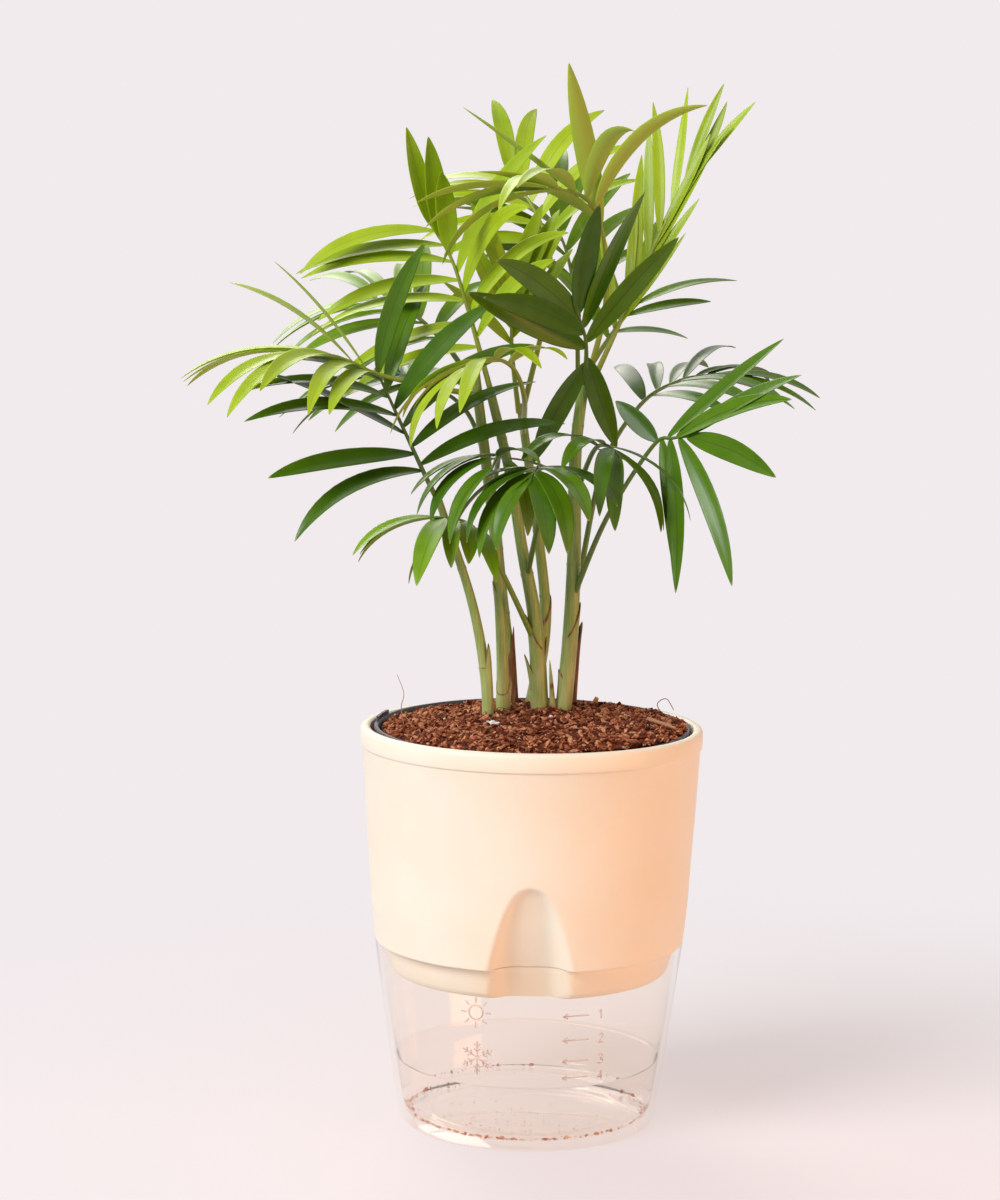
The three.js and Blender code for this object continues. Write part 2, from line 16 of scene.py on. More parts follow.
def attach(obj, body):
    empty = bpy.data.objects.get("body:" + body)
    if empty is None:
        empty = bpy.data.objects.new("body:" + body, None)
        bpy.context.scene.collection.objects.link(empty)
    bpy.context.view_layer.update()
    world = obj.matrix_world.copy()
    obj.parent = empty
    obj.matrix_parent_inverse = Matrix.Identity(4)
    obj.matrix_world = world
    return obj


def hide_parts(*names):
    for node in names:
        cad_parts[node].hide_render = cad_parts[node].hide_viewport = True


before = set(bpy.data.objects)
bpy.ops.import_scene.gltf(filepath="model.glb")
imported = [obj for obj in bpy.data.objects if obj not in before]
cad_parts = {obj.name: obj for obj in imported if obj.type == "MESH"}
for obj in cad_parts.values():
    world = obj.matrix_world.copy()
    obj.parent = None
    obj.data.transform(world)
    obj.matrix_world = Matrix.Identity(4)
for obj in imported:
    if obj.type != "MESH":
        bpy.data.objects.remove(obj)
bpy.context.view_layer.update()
MM = 0.001
BODY = "root"

# %% [markdown]
# ## Camera
# The camera looks at the planter's front from a little above the rim, from about a metre away. A long
# lens is used, as for a portrait, so that the pot's sides stay nearly straight. It is made first, so
# that every later step can be looked at through it.

# %% The camera
LENS = 95.7             # focal length in millimetres
LOOK_DOWN = 7.24        # degrees below level
ROLL = 0.75             # degrees that it leans over
CAMERA_PLACE = (-0.0108, -1.0157, 0.2995)
camera_data = bpy.data.cameras.new("camera")
camera_data.lens = LENS
camera = bpy.data.objects.new("camera", camera_data)
bpy.context.collection.objects.link(camera)
look_down = Matrix.Rotation(math.radians(90 - LOOK_DOWN), 4, "X")
roll = Matrix.Rotation(math.radians(ROLL), 4, "Z")
camera.matrix_world = Matrix.Translation(CAMERA_PLACE) @ look_down @ roll
bpy.context.scene.camera = camera
print("camera at", [round(c, 3) for c in camera.location], "lens", camera_data.lens)

# %% [markdown]
# ## Colours and nodes
# Colours are picked in sRGB and written as hex values, but shaders work in linear light, so one
# function turns the one to the other. A second function adds a node with its settings and links: a
# value given for a socket is either a plain setting or the output of another node. With it a material
# reads from top to bottom like a recipe.

# %% Colour and node helpers
def linear(hexed):
    """A linear RGBA colour from an sRGB hex value such as "#a1b2c3"."""
    parts = [int(hexed[i:i + 2], 16) / 255 for i in (1, 3, 5)]
    return [p / 12.92 if p <= 0.04045 else ((p + 0.055) / 1.055) ** 2.4 for p in parts] + [1.0]


def add_node(finish, kind, sockets=(), stops=(), **settings):
    """Adds a shader node to a material: settings are its own fields, sockets maps its inputs."""
    tree = finish.node_tree
    made = tree.nodes.new("ShaderNode" + kind)
    for field, value in settings.items():
        setattr(made, field, value)
    for key, value in dict(sockets).items():
        if isinstance(value, bpy.types.NodeSocket):
            tree.links.new(value, made.inputs[key])
        else:
            made.inputs[key].default_value = value
    if stops:
        ramp = made.color_ramp
        while len(ramp.elements) < len(stops):
            ramp.elements.new(0.5)
        for element, (place, hexed) in zip(ramp.elements, stops):
            element.position = place
            element.color = linear(hexed)
    return made


def new_finish(name):
    """An empty node material."""
    finish = bpy.data.materials.new(name)
    finish.use_nodes = True
    finish.node_tree.nodes.clear()
    return finish


def show(finish, shader):
    """Sends a shader node to the material's output."""
    add_node(finish, "OutputMaterial", {"Surface": shader.outputs[0]})
    print("finish:", finish.name, len(finish.node_tree.nodes), "nodes")
    return finish


# %% [markdown]
# ## Room
# The planter stands on a plain pale floor that runs on to a pale surround of the same tone, as on a
# paper sweep, so that nothing but the plant draws the eye. A floor can be a plane that is only scaled
# up. Here it is a disc, because its round edge meets the surround evenly from every side. Near the
# planter the paper is lit by the lamps and takes its shadow. Further out it glows by itself in the
# surround's own tone, so no horizon shows.

# %% Floor and surround
bpy.ops.object.select_all(action="DESELECT")
bpy.ops.mesh.primitive_circle_add(vertices=96, radius=9, fill_type="NGON", location=(0, 0, -0.0002))
floor = bpy.context.object
floor.name = "floor"
SURROUND_TONE = "#f1ebed"
LIT_PAPER = 0.06        # metres from the middle to where the paper starts to glow
GLOWING_PAPER = 0.42    # and to where it only glows
LEAST_GLOW = 0.4        # share of glow in the lit paper, which keeps its shadows light
AMBIENT = 0.36          # strength of the surround as a light, against 1 as it is seen
UPLIGHT = 0.44           # strength of the paper as a light, against 1 as it is seen
paper = new_finish("matt paper sweep")
place = add_node(paper, "TexCoord")
far_out = add_node(paper, "VectorMath", {0: place.outputs["Object"]}, operation="LENGTH")
glow_share = add_node(paper, "MapRange", {
    "Value": far_out.outputs["Value"], "From Min": LIT_PAPER, "From Max": GLOWING_PAPER,
    "To Min": LEAST_GLOW,
}, interpolation_type="SMOOTHSTEP")
matt = add_node(paper, "BsdfPrincipled", {
    "Base Color": linear("#f0e8e9"), "Roughness": 0.85, "Specular IOR Level": 0.2,
})
ray_kind = add_node(paper, "LightPath")
glow = add_node(paper, "MapRange", {
    "Value": ray_kind.outputs["Is Diffuse Ray"], "To Min": 1.0, "To Max": UPLIGHT,
})
glowing = add_node(paper, "Emission", {"Color": linear(SURROUND_TONE), "Strength": glow.outputs["Result"]})
show(paper, add_node(paper, "MixShader", {
    0: glow_share.outputs["Result"], 1: matt.outputs[0], 2: glowing.outputs[0],
}))
floor.data.materials.append(paper)

surround = bpy.data.worlds.new("surround")
bpy.context.scene.world = surround
surround.use_nodes = True
sky = surround.node_tree.nodes["Background"]
sky.inputs["Color"].default_value = linear(SURROUND_TONE)
ray_kind = surround.node_tree.nodes.new("ShaderNodeLightPath")
strength = surround.node_tree.nodes.new("ShaderNodeMapRange")
strength.inputs["To Min"].default_value = 1.0
strength.inputs["To Max"].default_value = AMBIENT
surround.node_tree.links.new(ray_kind.outputs["Is Diffuse Ray"], strength.inputs["Value"])
surround.node_tree.links.new(strength.outputs["Result"], sky.inputs["Strength"])
bpy.context.scene.view_settings.view_transform = "Standard"
print("floor radius", floor.dimensions.x / 2, "m")

# %% [markdown]
# ## Light
# A large soft box stands at the left, above and in front of the plant, and makes the left of the pot
# almost white. A small warm reflector lies low at the right, like light thrown back by a wooden table,
# and gives the pot's right side its peach tone. A box high at the right keeps the dark leaves from
# closing up, and one behind lights the thin leaves through. Area lights are used, since a soft box is a
# glowing sheet: the larger the sheet, the softer the shadow.

# %% Soft boxes
def soft_box(name, place, target, size, power, hexed):
    """A square area light at place, turned to face target."""
    data = bpy.data.lights.new(name, "AREA")
    data.shape = "SQUARE"
    data.size = size
    data.energy = power
    data.color = linear(hexed)[:3]
    box = bpy.data.objects.new(name, data)
    bpy.context.collection.objects.link(box)
    box.location = place
    box.rotation_euler = (Vector(target) - Vector(place)).to_track_quat("-Z", "Y").to_euler()
    print("light", name, power, "W")


soft_box("key soft box", (-1.15, -1.0, 1.15), (0, 0, 0.18), 0.9, 30, "#fbfbff")
soft_box("fill soft box", (1.3, -1.0, 1.0), (0, 0, 0.2), 1.2, 1.8, "#ffc47e")
soft_box("back soft box", (-0.5, 1.3, 1.2), (0, 0, 0.25), 1.0, 12, "#fffaf2")
soft_box("warm table reflector", (0.42, -0.28, 0.07), (0.03, 0, 0.1), 0.26, 1.35, "#ffa850")

# %% [markdown]
# ## Turned shapes
# Both parts of the planter, the liner, the water and the mix are round, so each is turned: a profile
# is drawn as a row of points and spun about the upright axis, as a potter's rib would shape it on a
# wheel. It could also be a cylinder that is scaled ring by ring, but a profile keeps the wall's inside
# and outside in one outline. Where the profile meets the axis, the spun points fall together and are
# merged, which closes the pole. Sharp edges are rounded by a small bevel.

# %% Turning a profile
TURN_STEPS = 144
MOULDED_EDGE = 0.45     # radius of an injection-moulded part's edges


def densified(profile, low, high, step):
    """The profile with more points between two heights, for a wall that is pressed in afterwards."""
    points = [profile[0]]
    for (r0, z0), (r1, z1) in zip(profile, profile[1:]):
        inside = min(z0, z1) >= low - 0.01 and max(z0, z1) <= high + 0.01
        count = max(1, round(abs(z1 - z0) / step)) if inside else 1
        points += [(r0 + (r1 - r0) * i / count, z0 + (z1 - z0) * i / count) for i in range(1, count + 1)]
    return points


def turned(name, profile, edge=MOULDED_EDGE, steps=TURN_STEPS):
    """A closed profile of (radius, height) points in millimetres, spun about the upright axis."""
    bpy.ops.object.select_all(action="DESELECT")
    bpy.ops.mesh.primitive_plane_add(size=MM)
    piece = bpy.context.object
    piece.name = name
    bpy.ops.object.mode_set(mode="EDIT")
    bpy.ops.mesh.select_all(action="SELECT")
    bpy.ops.mesh.merge(type="CENTER")
    bpy.ops.transform.translate(value=(profile[0][0] * MM, 0, profile[0][1] * MM))
    for (r0, z0), (r1, z1) in zip(profile, profile[1:]):
        step = ((r1 - r0) * MM, 0, (z1 - z0) * MM)
        bpy.ops.mesh.extrude_region_move(TRANSFORM_OT_translate={"value": step})
    bpy.ops.mesh.select_all(action="SELECT")
    bpy.ops.mesh.spin(steps=steps, angle=math.tau, center=(0, 0, 0), axis=(0, 0, 1))
    bpy.ops.mesh.select_all(action="SELECT")
    bpy.ops.mesh.remove_doubles(threshold=1e-6)
    bpy.ops.mesh.normals_make_consistent(inside=False)
    bpy.ops.object.mode_set(mode="OBJECT")
    if edge:
        rounding = piece.modifiers.new("moulded edges", "BEVEL")
        rounding.width = edge * MM
        rounding.segments = 3
        rounding.limit_method = "ANGLE"
        rounding.angle_limit = math.radians(28)
        bpy.ops.object.modifier_apply(modifier=rounding.name)
    bpy.ops.object.shade_smooth_by_angle(angle=math.radians(35))
    print(name, len(profile), "profile points,", len(piece.data.polygons), "faces")
    return piece


def radius_at(outline, z):
    """The radius of an outline of rising (radius, height) points at height z."""
    for (r0, z0), (r1, z1) in zip(outline, outline[1:]):
        if z <= z1:
            break
    return r0 + (r1 - r0) * (z - z0) / (z1 - z0)


def hand_over(piece, finish, slot, *nodes):
    """A finished piece: its place goes into its mesh, it rides the frame and gets its finish."""
    bpy.ops.object.select_all(action="DESELECT")
    piece.select_set(True)
    bpy.context.view_layer.objects.active = piece
    bpy.ops.object.transform_apply(location=True, rotation=True, scale=True)
    if not piece.data.materials:
        piece.data.materials.append(finish)
    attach(piece, BODY)
    if nodes:
        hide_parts(*nodes)
    print("piece:", piece.name, len(piece.data.polygons), "faces, stands for", nodes or "nothing")


# %% [markdown]
# ## Reservoir
# The reservoir is a tapered beaker of clear polystyrene, injection moulded, with a wall under 2 mm and
# a thicker floor that carries a low ring. It shows by its bright edges and its thick glassy foot, so it
# is modelled as a real wall with an inside and an outside, and not as a single skin.

# %% Reservoir
SEAM = 60               # height where the shell's wall takes over from the reservoir's
RESERVOIR_OUTLINE = ((41.3, 1.6), (41.9, 4), (43.9, 16.5), (46.85, 36.8), (50, SEAM))
RESERVOIR_WALL = 1.7
RIB = 31                # radius of the ring moulded on the floor


def inner_wall(z):
    return radius_at(RESERVOIR_OUTLINE, z) - RESERVOIR_WALL


reservoir = turned("reservoir", [
    (0, 0.3), (37.5, 0.3), (38.6, 0), (39.9, 0.25), *RESERVOIR_OUTLINE,
    *[(inner_wall(z), z) for z in (SEAM, 36.8, 16.5, 6)], (inner_wall(6) - 0.8, 4), (inner_wall(6) - 2.6, 3),
    (RIB + 1.6, 3), (RIB + 0.8, 3.9), (RIB - 0.8, 3.9), (RIB - 1.6, 3), (0, 3),
], edge=0.35)

# %% [markdown]
# ### Clear polystyrene
# Polystyrene has an index of about 1.59 and comes out of a polished mould nearly as smooth as glass.
# A thin even wall hardly shifts what is behind it, but a shader with the full index also traps light
# in the wall's edges and turns them black. So the body bends no light, and a coat with an index of its
# own gives back part of the reflections. Light for what is inside would not pass a glass shader either,
# so rays that look for a lamp, and rays scattered by a matt surface, meet a plain transparent shader
# instead.

# %% Clear polystyrene and water
def clear_finish(name, body_index, roughness, tint, coat_index):
    """A clear solid that lets the light for what is inside it through."""
    finish = new_finish(name)
    body = add_node(finish, "BsdfPrincipled", {
        "Base Color": linear(tint), "Roughness": roughness, "IOR": body_index, "Transmission Weight": 1.0,
        "Coat Weight": 1.0, "Coat IOR": coat_index, "Coat Roughness": 0.02,
    })
    lit = add_node(finish, "BsdfTransparent", {"Color": linear("#fefdfc")})
    path = add_node(finish, "LightPath")
    for scattered in ("Is Diffuse Ray", "Is Shadow Ray"):
        body = add_node(finish, "MixShader", {
            0: path.outputs[scattered], 1: body.outputs[0], 2: lit.outputs[0],
        })
    return show(finish, body)


polystyrene = clear_finish("clear polystyrene, injection moulded", 1.0, 0.01, "#fefaf5", 1.36)
hand_over(reservoir, polystyrene, "clear_plastic", "reservoir")

# %% [markdown]
# ## Water
# About two centimetres of water stand in the reservoir. Its edge climbs the wall a little, as water
# does on clean plastic, and that thin bright meniscus is what the eye reads as the water line.

# %% Water
WATER_LEVEL = 21
water = turned("water", [
    (0, 4.3), (RIB + 1.6, 4.3), (inner_wall(6) - 2.9, 3.5),
    *[(inner_wall(z) - 0.25, z) for z in (6, 11, 16.5, WATER_LEVEL + 0.9)],
    (inner_wall(21) - 0.55, WATER_LEVEL + 0.35), (inner_wall(21) - 1.3, WATER_LEVEL + 0.08),
    (inner_wall(21) - 2.6, WATER_LEVEL), (0, WATER_LEVEL),
], edge=0)
still_water = clear_finish("still tap water", 1.02, 0.0, "#fdf9f8", 1.22)
hand_over(water, still_water, "water", "water")

# %% [markdown]
# ## Shell
# The shell is the cream insert that holds the plant. Its wall is flush with the reservoir's at the seam
# and goes on down inside it as a narrower skirt, which shows through the clear wall. It has a slightly
# thicker band round the rim. The profile is one closed outline, wall and floor together.

# %% Shell, turned
SHELL_WALL = 2.4
SHELL_OUTLINE = ((50, 60.3), (51.2, 72), (52.1, 86), (52.5, 92), (53.4, 105), (54.45, 123.6))
SKIRT = ((0, 50), (42.6, 50), (44.2, 50.5), (45.3, 51.9), (46.3, 55.5), (47.1, 60.1))
RIM = ((55.0, 123.95), (55.2, 128.6), (54.9, 129.5), (54.2, 130), (52.9, 130), (52.1, 129.5))
shell = turned("planter_shell", densified([
    *SKIRT, *SHELL_OUTLINE, *RIM,
    *[(radius_at(SHELL_OUTLINE, z) - SHELL_WALL, z) for z in (123, 105, 92, 86, 72)],
    (46.6, 63), (44.5, 58), (42.8, 53), (0, 53),
], 50, 92, 1.2), edge=0.3)

# %% [markdown]
# ### The filling scoop
# The scoop in the shell's front is an arch, as if a thumb had pressed the warm wall in: a soft edge, a
# quick step down and a floor that leans back towards the seam. It could be cut with a boolean, but that
# leaves a sharp rim that is hard to round. The front of the wall is subdivided instead, and each point
# is pushed back by a depth that depends on how far inside the arch it lies. Outside and inside of the
# wall are pushed alike, so the wall keeps its thickness.

# %% Scoop pressed into the shell
SCOOP_TOP = 87
SCOOP_HALF = 12.9       # half the arch's width at the seam
SCOOP_BOW = 2.4         # how round the arch is: 2 is a parabola
SCOOP_STEP = 1.6        # depth just inside the top of the arch
SCOOP_DEPTH = 8.6       # depth at the seam
SCOOP_EDGE = 1.0        # softness of the arch's edge


def smooth_max(a, b, softness):
    """The larger of two values, with the corner between them rounded."""
    near = max(softness - abs(a - b), 0) / softness
    return max(a, b) + near * near * softness / 4


def scoop_depth(x, z):
    """How far the wall is pushed back at x and z."""
    drop = (SCOOP_TOP - z) / (SCOOP_TOP - SEAM)
    level = abs(x) / SCOOP_HALF
    rise = (SCOOP_TOP - SEAM) / SCOOP_HALF * SCOOP_BOW * level ** (SCOOP_BOW - 1)
    inside = (SCOOP_TOP - SEAM) * (drop - level ** SCOOP_BOW) / math.hypot(1, rise)
    inside = smooth_max(inside, 0, SCOOP_EDGE)
    reach = 0.8 + 3.4 * max(drop, 0)
    return (SCOOP_STEP + (SCOOP_DEPTH - SCOOP_STEP) * max(drop, 0)) * (1 - math.exp(-inside / reach))


def press(x, z, wall, behind):
    """Where the wall goes at x and z, as a y; behind is how far it lies behind the outer face."""
    if z > SEAM + 0.2:
        return wall + scoop_depth(x, z)
    line_of_wall = radius_at(SHELL_OUTLINE, z) - behind
    return smooth_max(wall, scoop_depth(x, z) - math.sqrt(line_of_wall ** 2 - x ** 2), 3.5)


bpy.ops.object.mode_set(mode="EDIT")
bpy.ops.mesh.select_all(action="DESELECT")
bpy.ops.object.mode_set(mode="OBJECT")
for face in shell.data.polygons:
    x, y, z = face.center / MM
    face.select = abs(x) < 18.5 and y < -36 and z < 90.5
bpy.ops.object.mode_set(mode="EDIT")
bpy.ops.mesh.subdivide(number_cuts=2, smoothness=0)
bpy.ops.object.mode_set(mode="OBJECT")
for point in shell.data.vertices:
    x, y, z = point.co / MM
    if y < -30 and z < 95 and abs(x) < 19:
        outer = radius_at(SHELL_OUTLINE, z) if z > SEAM + 0.2 else radius_at(SKIRT[1:], z)
        behind = 0 if math.hypot(x, y) > outer - SHELL_WALL / 2 else SHELL_WALL
        point.co.y = press(x, z, y, behind) * MM
bpy.ops.object.shade_smooth_by_angle(angle=math.radians(50))
print("shell with scoop:", len(shell.data.polygons), "faces")

# %% [markdown]
# ### Cream polypropylene
# The shell is polypropylene coloured through and moulded in a finely etched tool, so it has a satin
# face: no sharp reflections, and a soft warm glow where light enters the slightly milky plastic. A
# little subsurface light with a radius of a few millimetres gives that glow, and a fine even grain of
# about 0.3 mm breaks up the sheen.

# %% Cream polypropylene
polypropylene = new_finish("cream polypropylene, satin moulded")
place = add_node(polypropylene, "TexCoord")
mottle = add_node(polypropylene, "TexNoise", {
    "Vector": place.outputs["Object"], "Scale": 45.0, "Detail": 2.0,
})
cream = add_node(polypropylene, "ValToRGB", {"Fac": mottle.outputs["Fac"]}, stops=(
    (0.3, "#fdeed6"), (0.7, "#fef2de"),
))
etched = add_node(polypropylene, "TexNoise", {
    "Vector": place.outputs["Object"], "Scale": 1 / (0.3 * MM), "Detail": 1.0,
})
satin = add_node(polypropylene, "MapRange", {
    "Value": mottle.outputs["Fac"], "To Min": 0.36, "To Max": 0.46,
})
grain = add_node(polypropylene, "Bump", {
    "Height": etched.outputs["Fac"], "Strength": 0.06, "Distance": 0.05 * MM,
})
show(polypropylene, add_node(polypropylene, "BsdfPrincipled", {
    "Base Color": cream.outputs["Color"], "Roughness": satin.outputs["Result"], "IOR": 1.49,
    "Normal": grain.outputs["Normal"], "Subsurface Weight": 0.15, "Subsurface Scale": 3 * MM,
    "Subsurface Radius": (1.0, 0.65, 0.35),
}))
hand_over(shell, polypropylene, "cream_plastic", "planter_shell")

# %% [markdown]
# ## Liner
# The plant still stands in its thin nursery liner, which leans a little and shows its dark rim at the
# back and the left. It is turned like the shell and then tilted about a point near its rim. Two small
# tabs for lifting it out are pulled up from the rim.

# %% Liner
LINER_TILT = math.radians(1.1)
LINER_PIVOT = 126 * MM
LINER_TOP = 129.9


def tilt(points):
    """Leans a row of vectors forwards, as the liner stands."""
    lean_over = Matrix.Rotation(LINER_TILT, 4, "X")
    pivot = Vector((0, 0, LINER_PIVOT))
    return [lean_over @ (p - pivot) + pivot for p in points]


liner = turned("nursery_liner", [
    (0, 54), (33.5, 54), (49.5, 126.0), (50.7, 126.2), (50.9, 126.6), (50.9, 129.5), (50.6, 129.9),
    (49.7, 129.9), (49.4, 129.5), (48.6, 126.6), (32.5, 55), (0, 55),
], edge=0)
TABS = (math.radians(163), math.radians(171), math.radians(25))
bpy.ops.object.mode_set(mode="EDIT")
bpy.ops.mesh.select_all(action="DESELECT")
bpy.ops.object.mode_set(mode="OBJECT")
for face in liner.data.polygons:
    x, y, z = face.center / MM
    turn = math.atan2(y, x)
    on_rim = z > LINER_TOP - 0.05 and math.hypot(x, y) > 40
    face.select = on_rim and any(abs(turn - tab) < math.radians(3.2) for tab in TABS[:2])
bpy.ops.object.mode_set(mode="EDIT")
bpy.ops.mesh.extrude_region_move(TRANSFORM_OT_translate={"value": (0, 0, 1.4 * MM)})
bpy.ops.object.mode_set(mode="OBJECT")
leaned = tilt([v.co.copy() for v in liner.data.vertices])
for point, co in zip(liner.data.vertices, leaned):
    point.co = co

# %% [markdown]
# ### Dark liner plastic
# Liners are blown or pressed from recycled polypropylene, nearly black, with a dull sheen that is
# scuffed where hands and soil have rubbed the rim.

# %% Dark liner plastic
liner_plastic = new_finish("recycled polypropylene sheet, thermoformed")
place = add_node(liner_plastic, "TexCoord")
scuffs = add_node(liner_plastic, "TexNoise", {
    "Vector": place.outputs["Object"], "Scale": 260.0, "Detail": 4.0, "Roughness": 0.7,
})
greys = add_node(liner_plastic, "ValToRGB", {"Fac": scuffs.outputs["Fac"]}, stops=(
    (0.35, "#2f2e33"), (0.62, "#4b4a50"), (0.8, "#6f6c70"),
))
dull = add_node(liner_plastic, "MapRange", {"Value": scuffs.outputs["Fac"], "To Min": 0.35, "To Max": 0.6})
rubbed = add_node(liner_plastic, "Bump", {
    "Height": scuffs.outputs["Fac"], "Strength": 0.2, "Distance": 0.1 * MM,
})
show(liner_plastic, add_node(liner_plastic, "BsdfPrincipled", {
    "Base Color": greys.outputs["Color"], "Roughness": dull.outputs["Result"], "IOR": 1.49,
    "Normal": rubbed.outputs["Normal"],
}))
hand_over(liner, liner_plastic, "liner_plastic", "nursery_liner")

# %% [markdown]
# ## Potting mix
# The palms grow in coir, the ground husk of coconuts: reddish-brown crumbs of 1 to 3 mm among finer
# dust, with some fibres. A bump map alone would leave the surface flat at the rim, so a mound with a
# rough top is made first, and thousands of crumbs are then laid on it. One crumb is modelled, as a
# ball with few faces that is knocked out of shape, and copied at many sizes and turns. A fixed
# scatter, made from a sine, gives the same mix each time.

# %% Scatter and the mound
def scatter(seed, i):
    """A repeatable number between -1 and 1."""
    x = math.sin(seed * 12.9898 + i * 78.233) * 43758.5453
    return (x - math.floor(x)) * 2 - 1


MIX_RADIUS = 48.4
MIX_CROWN = 133.4
MIX_EDGE = 129.5


def mix_height(x, y):
    """Height of the mix in millimetres: a low mound, lowest at the left, with lumps."""
    out = min(math.hypot(x, y) / MIX_RADIUS, 1)
    mound = MIX_CROWN - (MIX_CROWN - MIX_EDGE) * out ** 2.4
    fuller = 0.8 * out * x / MIX_RADIUS
    lumps = 0.9 * noise.noise(Vector((x, y, 0)) * 0.11) + 0.5 * noise.noise(Vector((x, y, 7)) * 0.35)
    return mound + fuller + lumps


mix = turned("potting_mix", [
    (0, 56), (32.3, 56), (47.7, MIX_EDGE - 2),
    *[(MIX_RADIUS * (1 - i / 30), MIX_EDGE) for i in range(31)],
], edge=0)
for point in mix.data.vertices:
    x, y, z = point.co / MM
    if z > MIX_EDGE - 1:
        point.co.z = mix_height(x, y) * MM

# %% A crumb of coir, and its copies
CRUMBS = 5400
SPILL_MIDDLE = math.radians(-55)    # where the crumbs lie furthest over the liner's rim
bpy.ops.object.select_all(action="DESELECT")
bpy.ops.mesh.primitive_ico_sphere_add(subdivisions=1, radius=1)
crumb = bpy.context.object
bpy.ops.object.mode_set(mode="EDIT")
bpy.ops.mesh.select_all(action="SELECT")
bpy.ops.transform.vertex_random(offset=0.35, seed=3)
bpy.ops.object.mode_set(mode="OBJECT")


def place_copies(name, master, places, tints):
    """One mesh of copies of master, one for each 4x4 matrix, each with its own tint."""
    corners = [v.co.copy() for v in master.data.vertices]
    faces = [tuple(f.vertices) for f in master.data.polygons]
    points, polygons, shades = [], [], []
    for matrix, tint in zip(places, tints):
        first = len(points)
        points += [matrix @ c for c in corners]
        polygons += [tuple(first + i for i in f) for f in faces]
        shades += [tint] * len(corners)
    mesh = bpy.data.meshes.new(name)
    mesh.from_pydata(points, [], polygons)
    mesh.attributes.new("tint", "FLOAT", "POINT").data.foreach_set("value", shades)
    copies = bpy.data.objects.new(name, mesh)
    bpy.context.collection.objects.link(copies)
    print(name, len(places), "copies,", len(polygons), "faces")
    return copies


def laid(seed, i, x, y, z, size, flatness, stretch):
    """A matrix that lays a copy at x, y, z in millimetres, at a scattered turn."""
    turn = Matrix.Rotation(math.pi * scatter(seed, i + 0.1), 4, "Z")
    tip = (Matrix.Rotation(0.9 * scatter(seed, i + 0.2), 4, "X")
           @ Matrix.Rotation(0.9 * scatter(seed, i + 0.3), 4, "Y"))
    shape = Matrix.Diagonal((size * stretch * MM, size * MM, size * flatness * MM, 1))
    return Matrix.Translation((x * MM, y * MM, z * MM)) @ turn @ tip @ shape


crumb_places, crumb_tints = [], []
for i in range(CRUMBS):
    turn = i * 2.399963 + 0.25 * scatter(1, i)
    over_rim = 2.6 * max(0, math.cos(turn - SPILL_MIDDLE)) ** 0.5
    reach = (MIX_RADIUS - 0.9 + over_rim) * math.sqrt((i + 0.5) / CRUMBS)
    x, y = reach * math.cos(turn), reach * math.sin(turn)
    size = 0.36 + 0.6 * abs(scatter(2, i)) ** 1.8
    rise = mix_height(x, y) + 0.5 * size * scatter(3, i) + 0.15
    crumb_places.append(laid(4, i, x, y, rise, size, 0.6 + 0.2 * scatter(5, i), 1.9 + 0.7 * scatter(6, i)))
    crumb_tints.append(0.5 + 0.5 * scatter(7, i))
crumbs = place_copies("crumbs", crumb, crumb_places, crumb_tints)
bpy.data.objects.remove(crumb)

# %% [markdown]
# ### Strands
# Fibres, stems, leaf stalks and twigs are all long and thin. Each is a curve with a round bevel whose
# radius changes along it, turned into a mesh. One helper makes them all, through points that are
# joined by a smooth curve.

# %% Curves through points
def smooth_point(points, share):
    """The point at a share from 0 to 1 of a Catmull-Rom curve through points."""
    spans = len(points) - 1
    place = min(max(share, 0), 1) * spans
    i = min(int(place), spans - 1)
    f = place - i
    p1, p2 = points[i], points[i + 1]
    p0 = points[i - 1] if i > 0 else 2 * p1 - p2
    p3 = points[i + 2] if i + 2 <= spans else 2 * p2 - p1
    curve = 2 * p1 + (p2 - p0) * f + (2 * p0 - 5 * p1 + 4 * p2 - p3) * f ** 2
    return 0.5 * (curve + (3 * p1 - p0 - 3 * p2 + p3) * f ** 3)


def direction(points, share):
    """The way the curve runs at a share of its length."""
    return (smooth_point(points, share + 0.001) - smooth_point(points, share - 0.001)).normalized()


def strand(name, points, radius_of, steps, corners=2):
    """A closed round strand through points in millimetres; radius_of gives its radius by share."""
    curve = bpy.data.curves.new(name, "CURVE")
    curve.dimensions = "3D"
    curve.bevel_depth = MM
    curve.bevel_resolution = corners
    curve.use_fill_caps = True
    spline = curve.splines.new("POLY")
    spline.points.add(steps)
    for k, point in enumerate(spline.points):
        co = smooth_point(points, k / steps) * MM
        point.co = (*co, 1)
        point.radius = radius_of(k / steps)
    made = bpy.data.objects.new(name, curve)
    bpy.context.collection.objects.link(made)
    bpy.ops.object.select_all(action="DESELECT")
    made.select_set(True)
    bpy.context.view_layer.objects.active = made
    bpy.ops.object.convert(target="MESH")
    bpy.ops.object.mode_set(mode="EDIT")
    bpy.ops.mesh.select_all(action="SELECT")
    bpy.ops.mesh.remove_doubles(threshold=1e-6)
    bpy.ops.mesh.normals_make_consistent(inside=False)
    bpy.ops.object.mode_set(mode="OBJECT")
    bpy.ops.object.shade_smooth_by_angle(angle=math.radians(60))
    return bpy.context.object


def join(pieces, name):
    """Joins pieces into the first of them."""
    bpy.ops.object.select_all(action="DESELECT")
    for piece in pieces:
        piece.select_set(True)
    bpy.context.view_layer.objects.active = pieces[0]
    bpy.ops.object.join()
    pieces[0].name = name
    return pieces[0]


def set_tint(piece, values, name="tint"):
    """Writes a number for each point, or one number for all of them, for a finish to read."""
    count = len(piece.data.vertices)
    numbers = [values] * count if isinstance(values, (int, float)) else values
    layer = piece.data.attributes.get(name) or piece.data.attributes.new(name, "FLOAT", "POINT")
    layer.data.foreach_set("value", numbers)


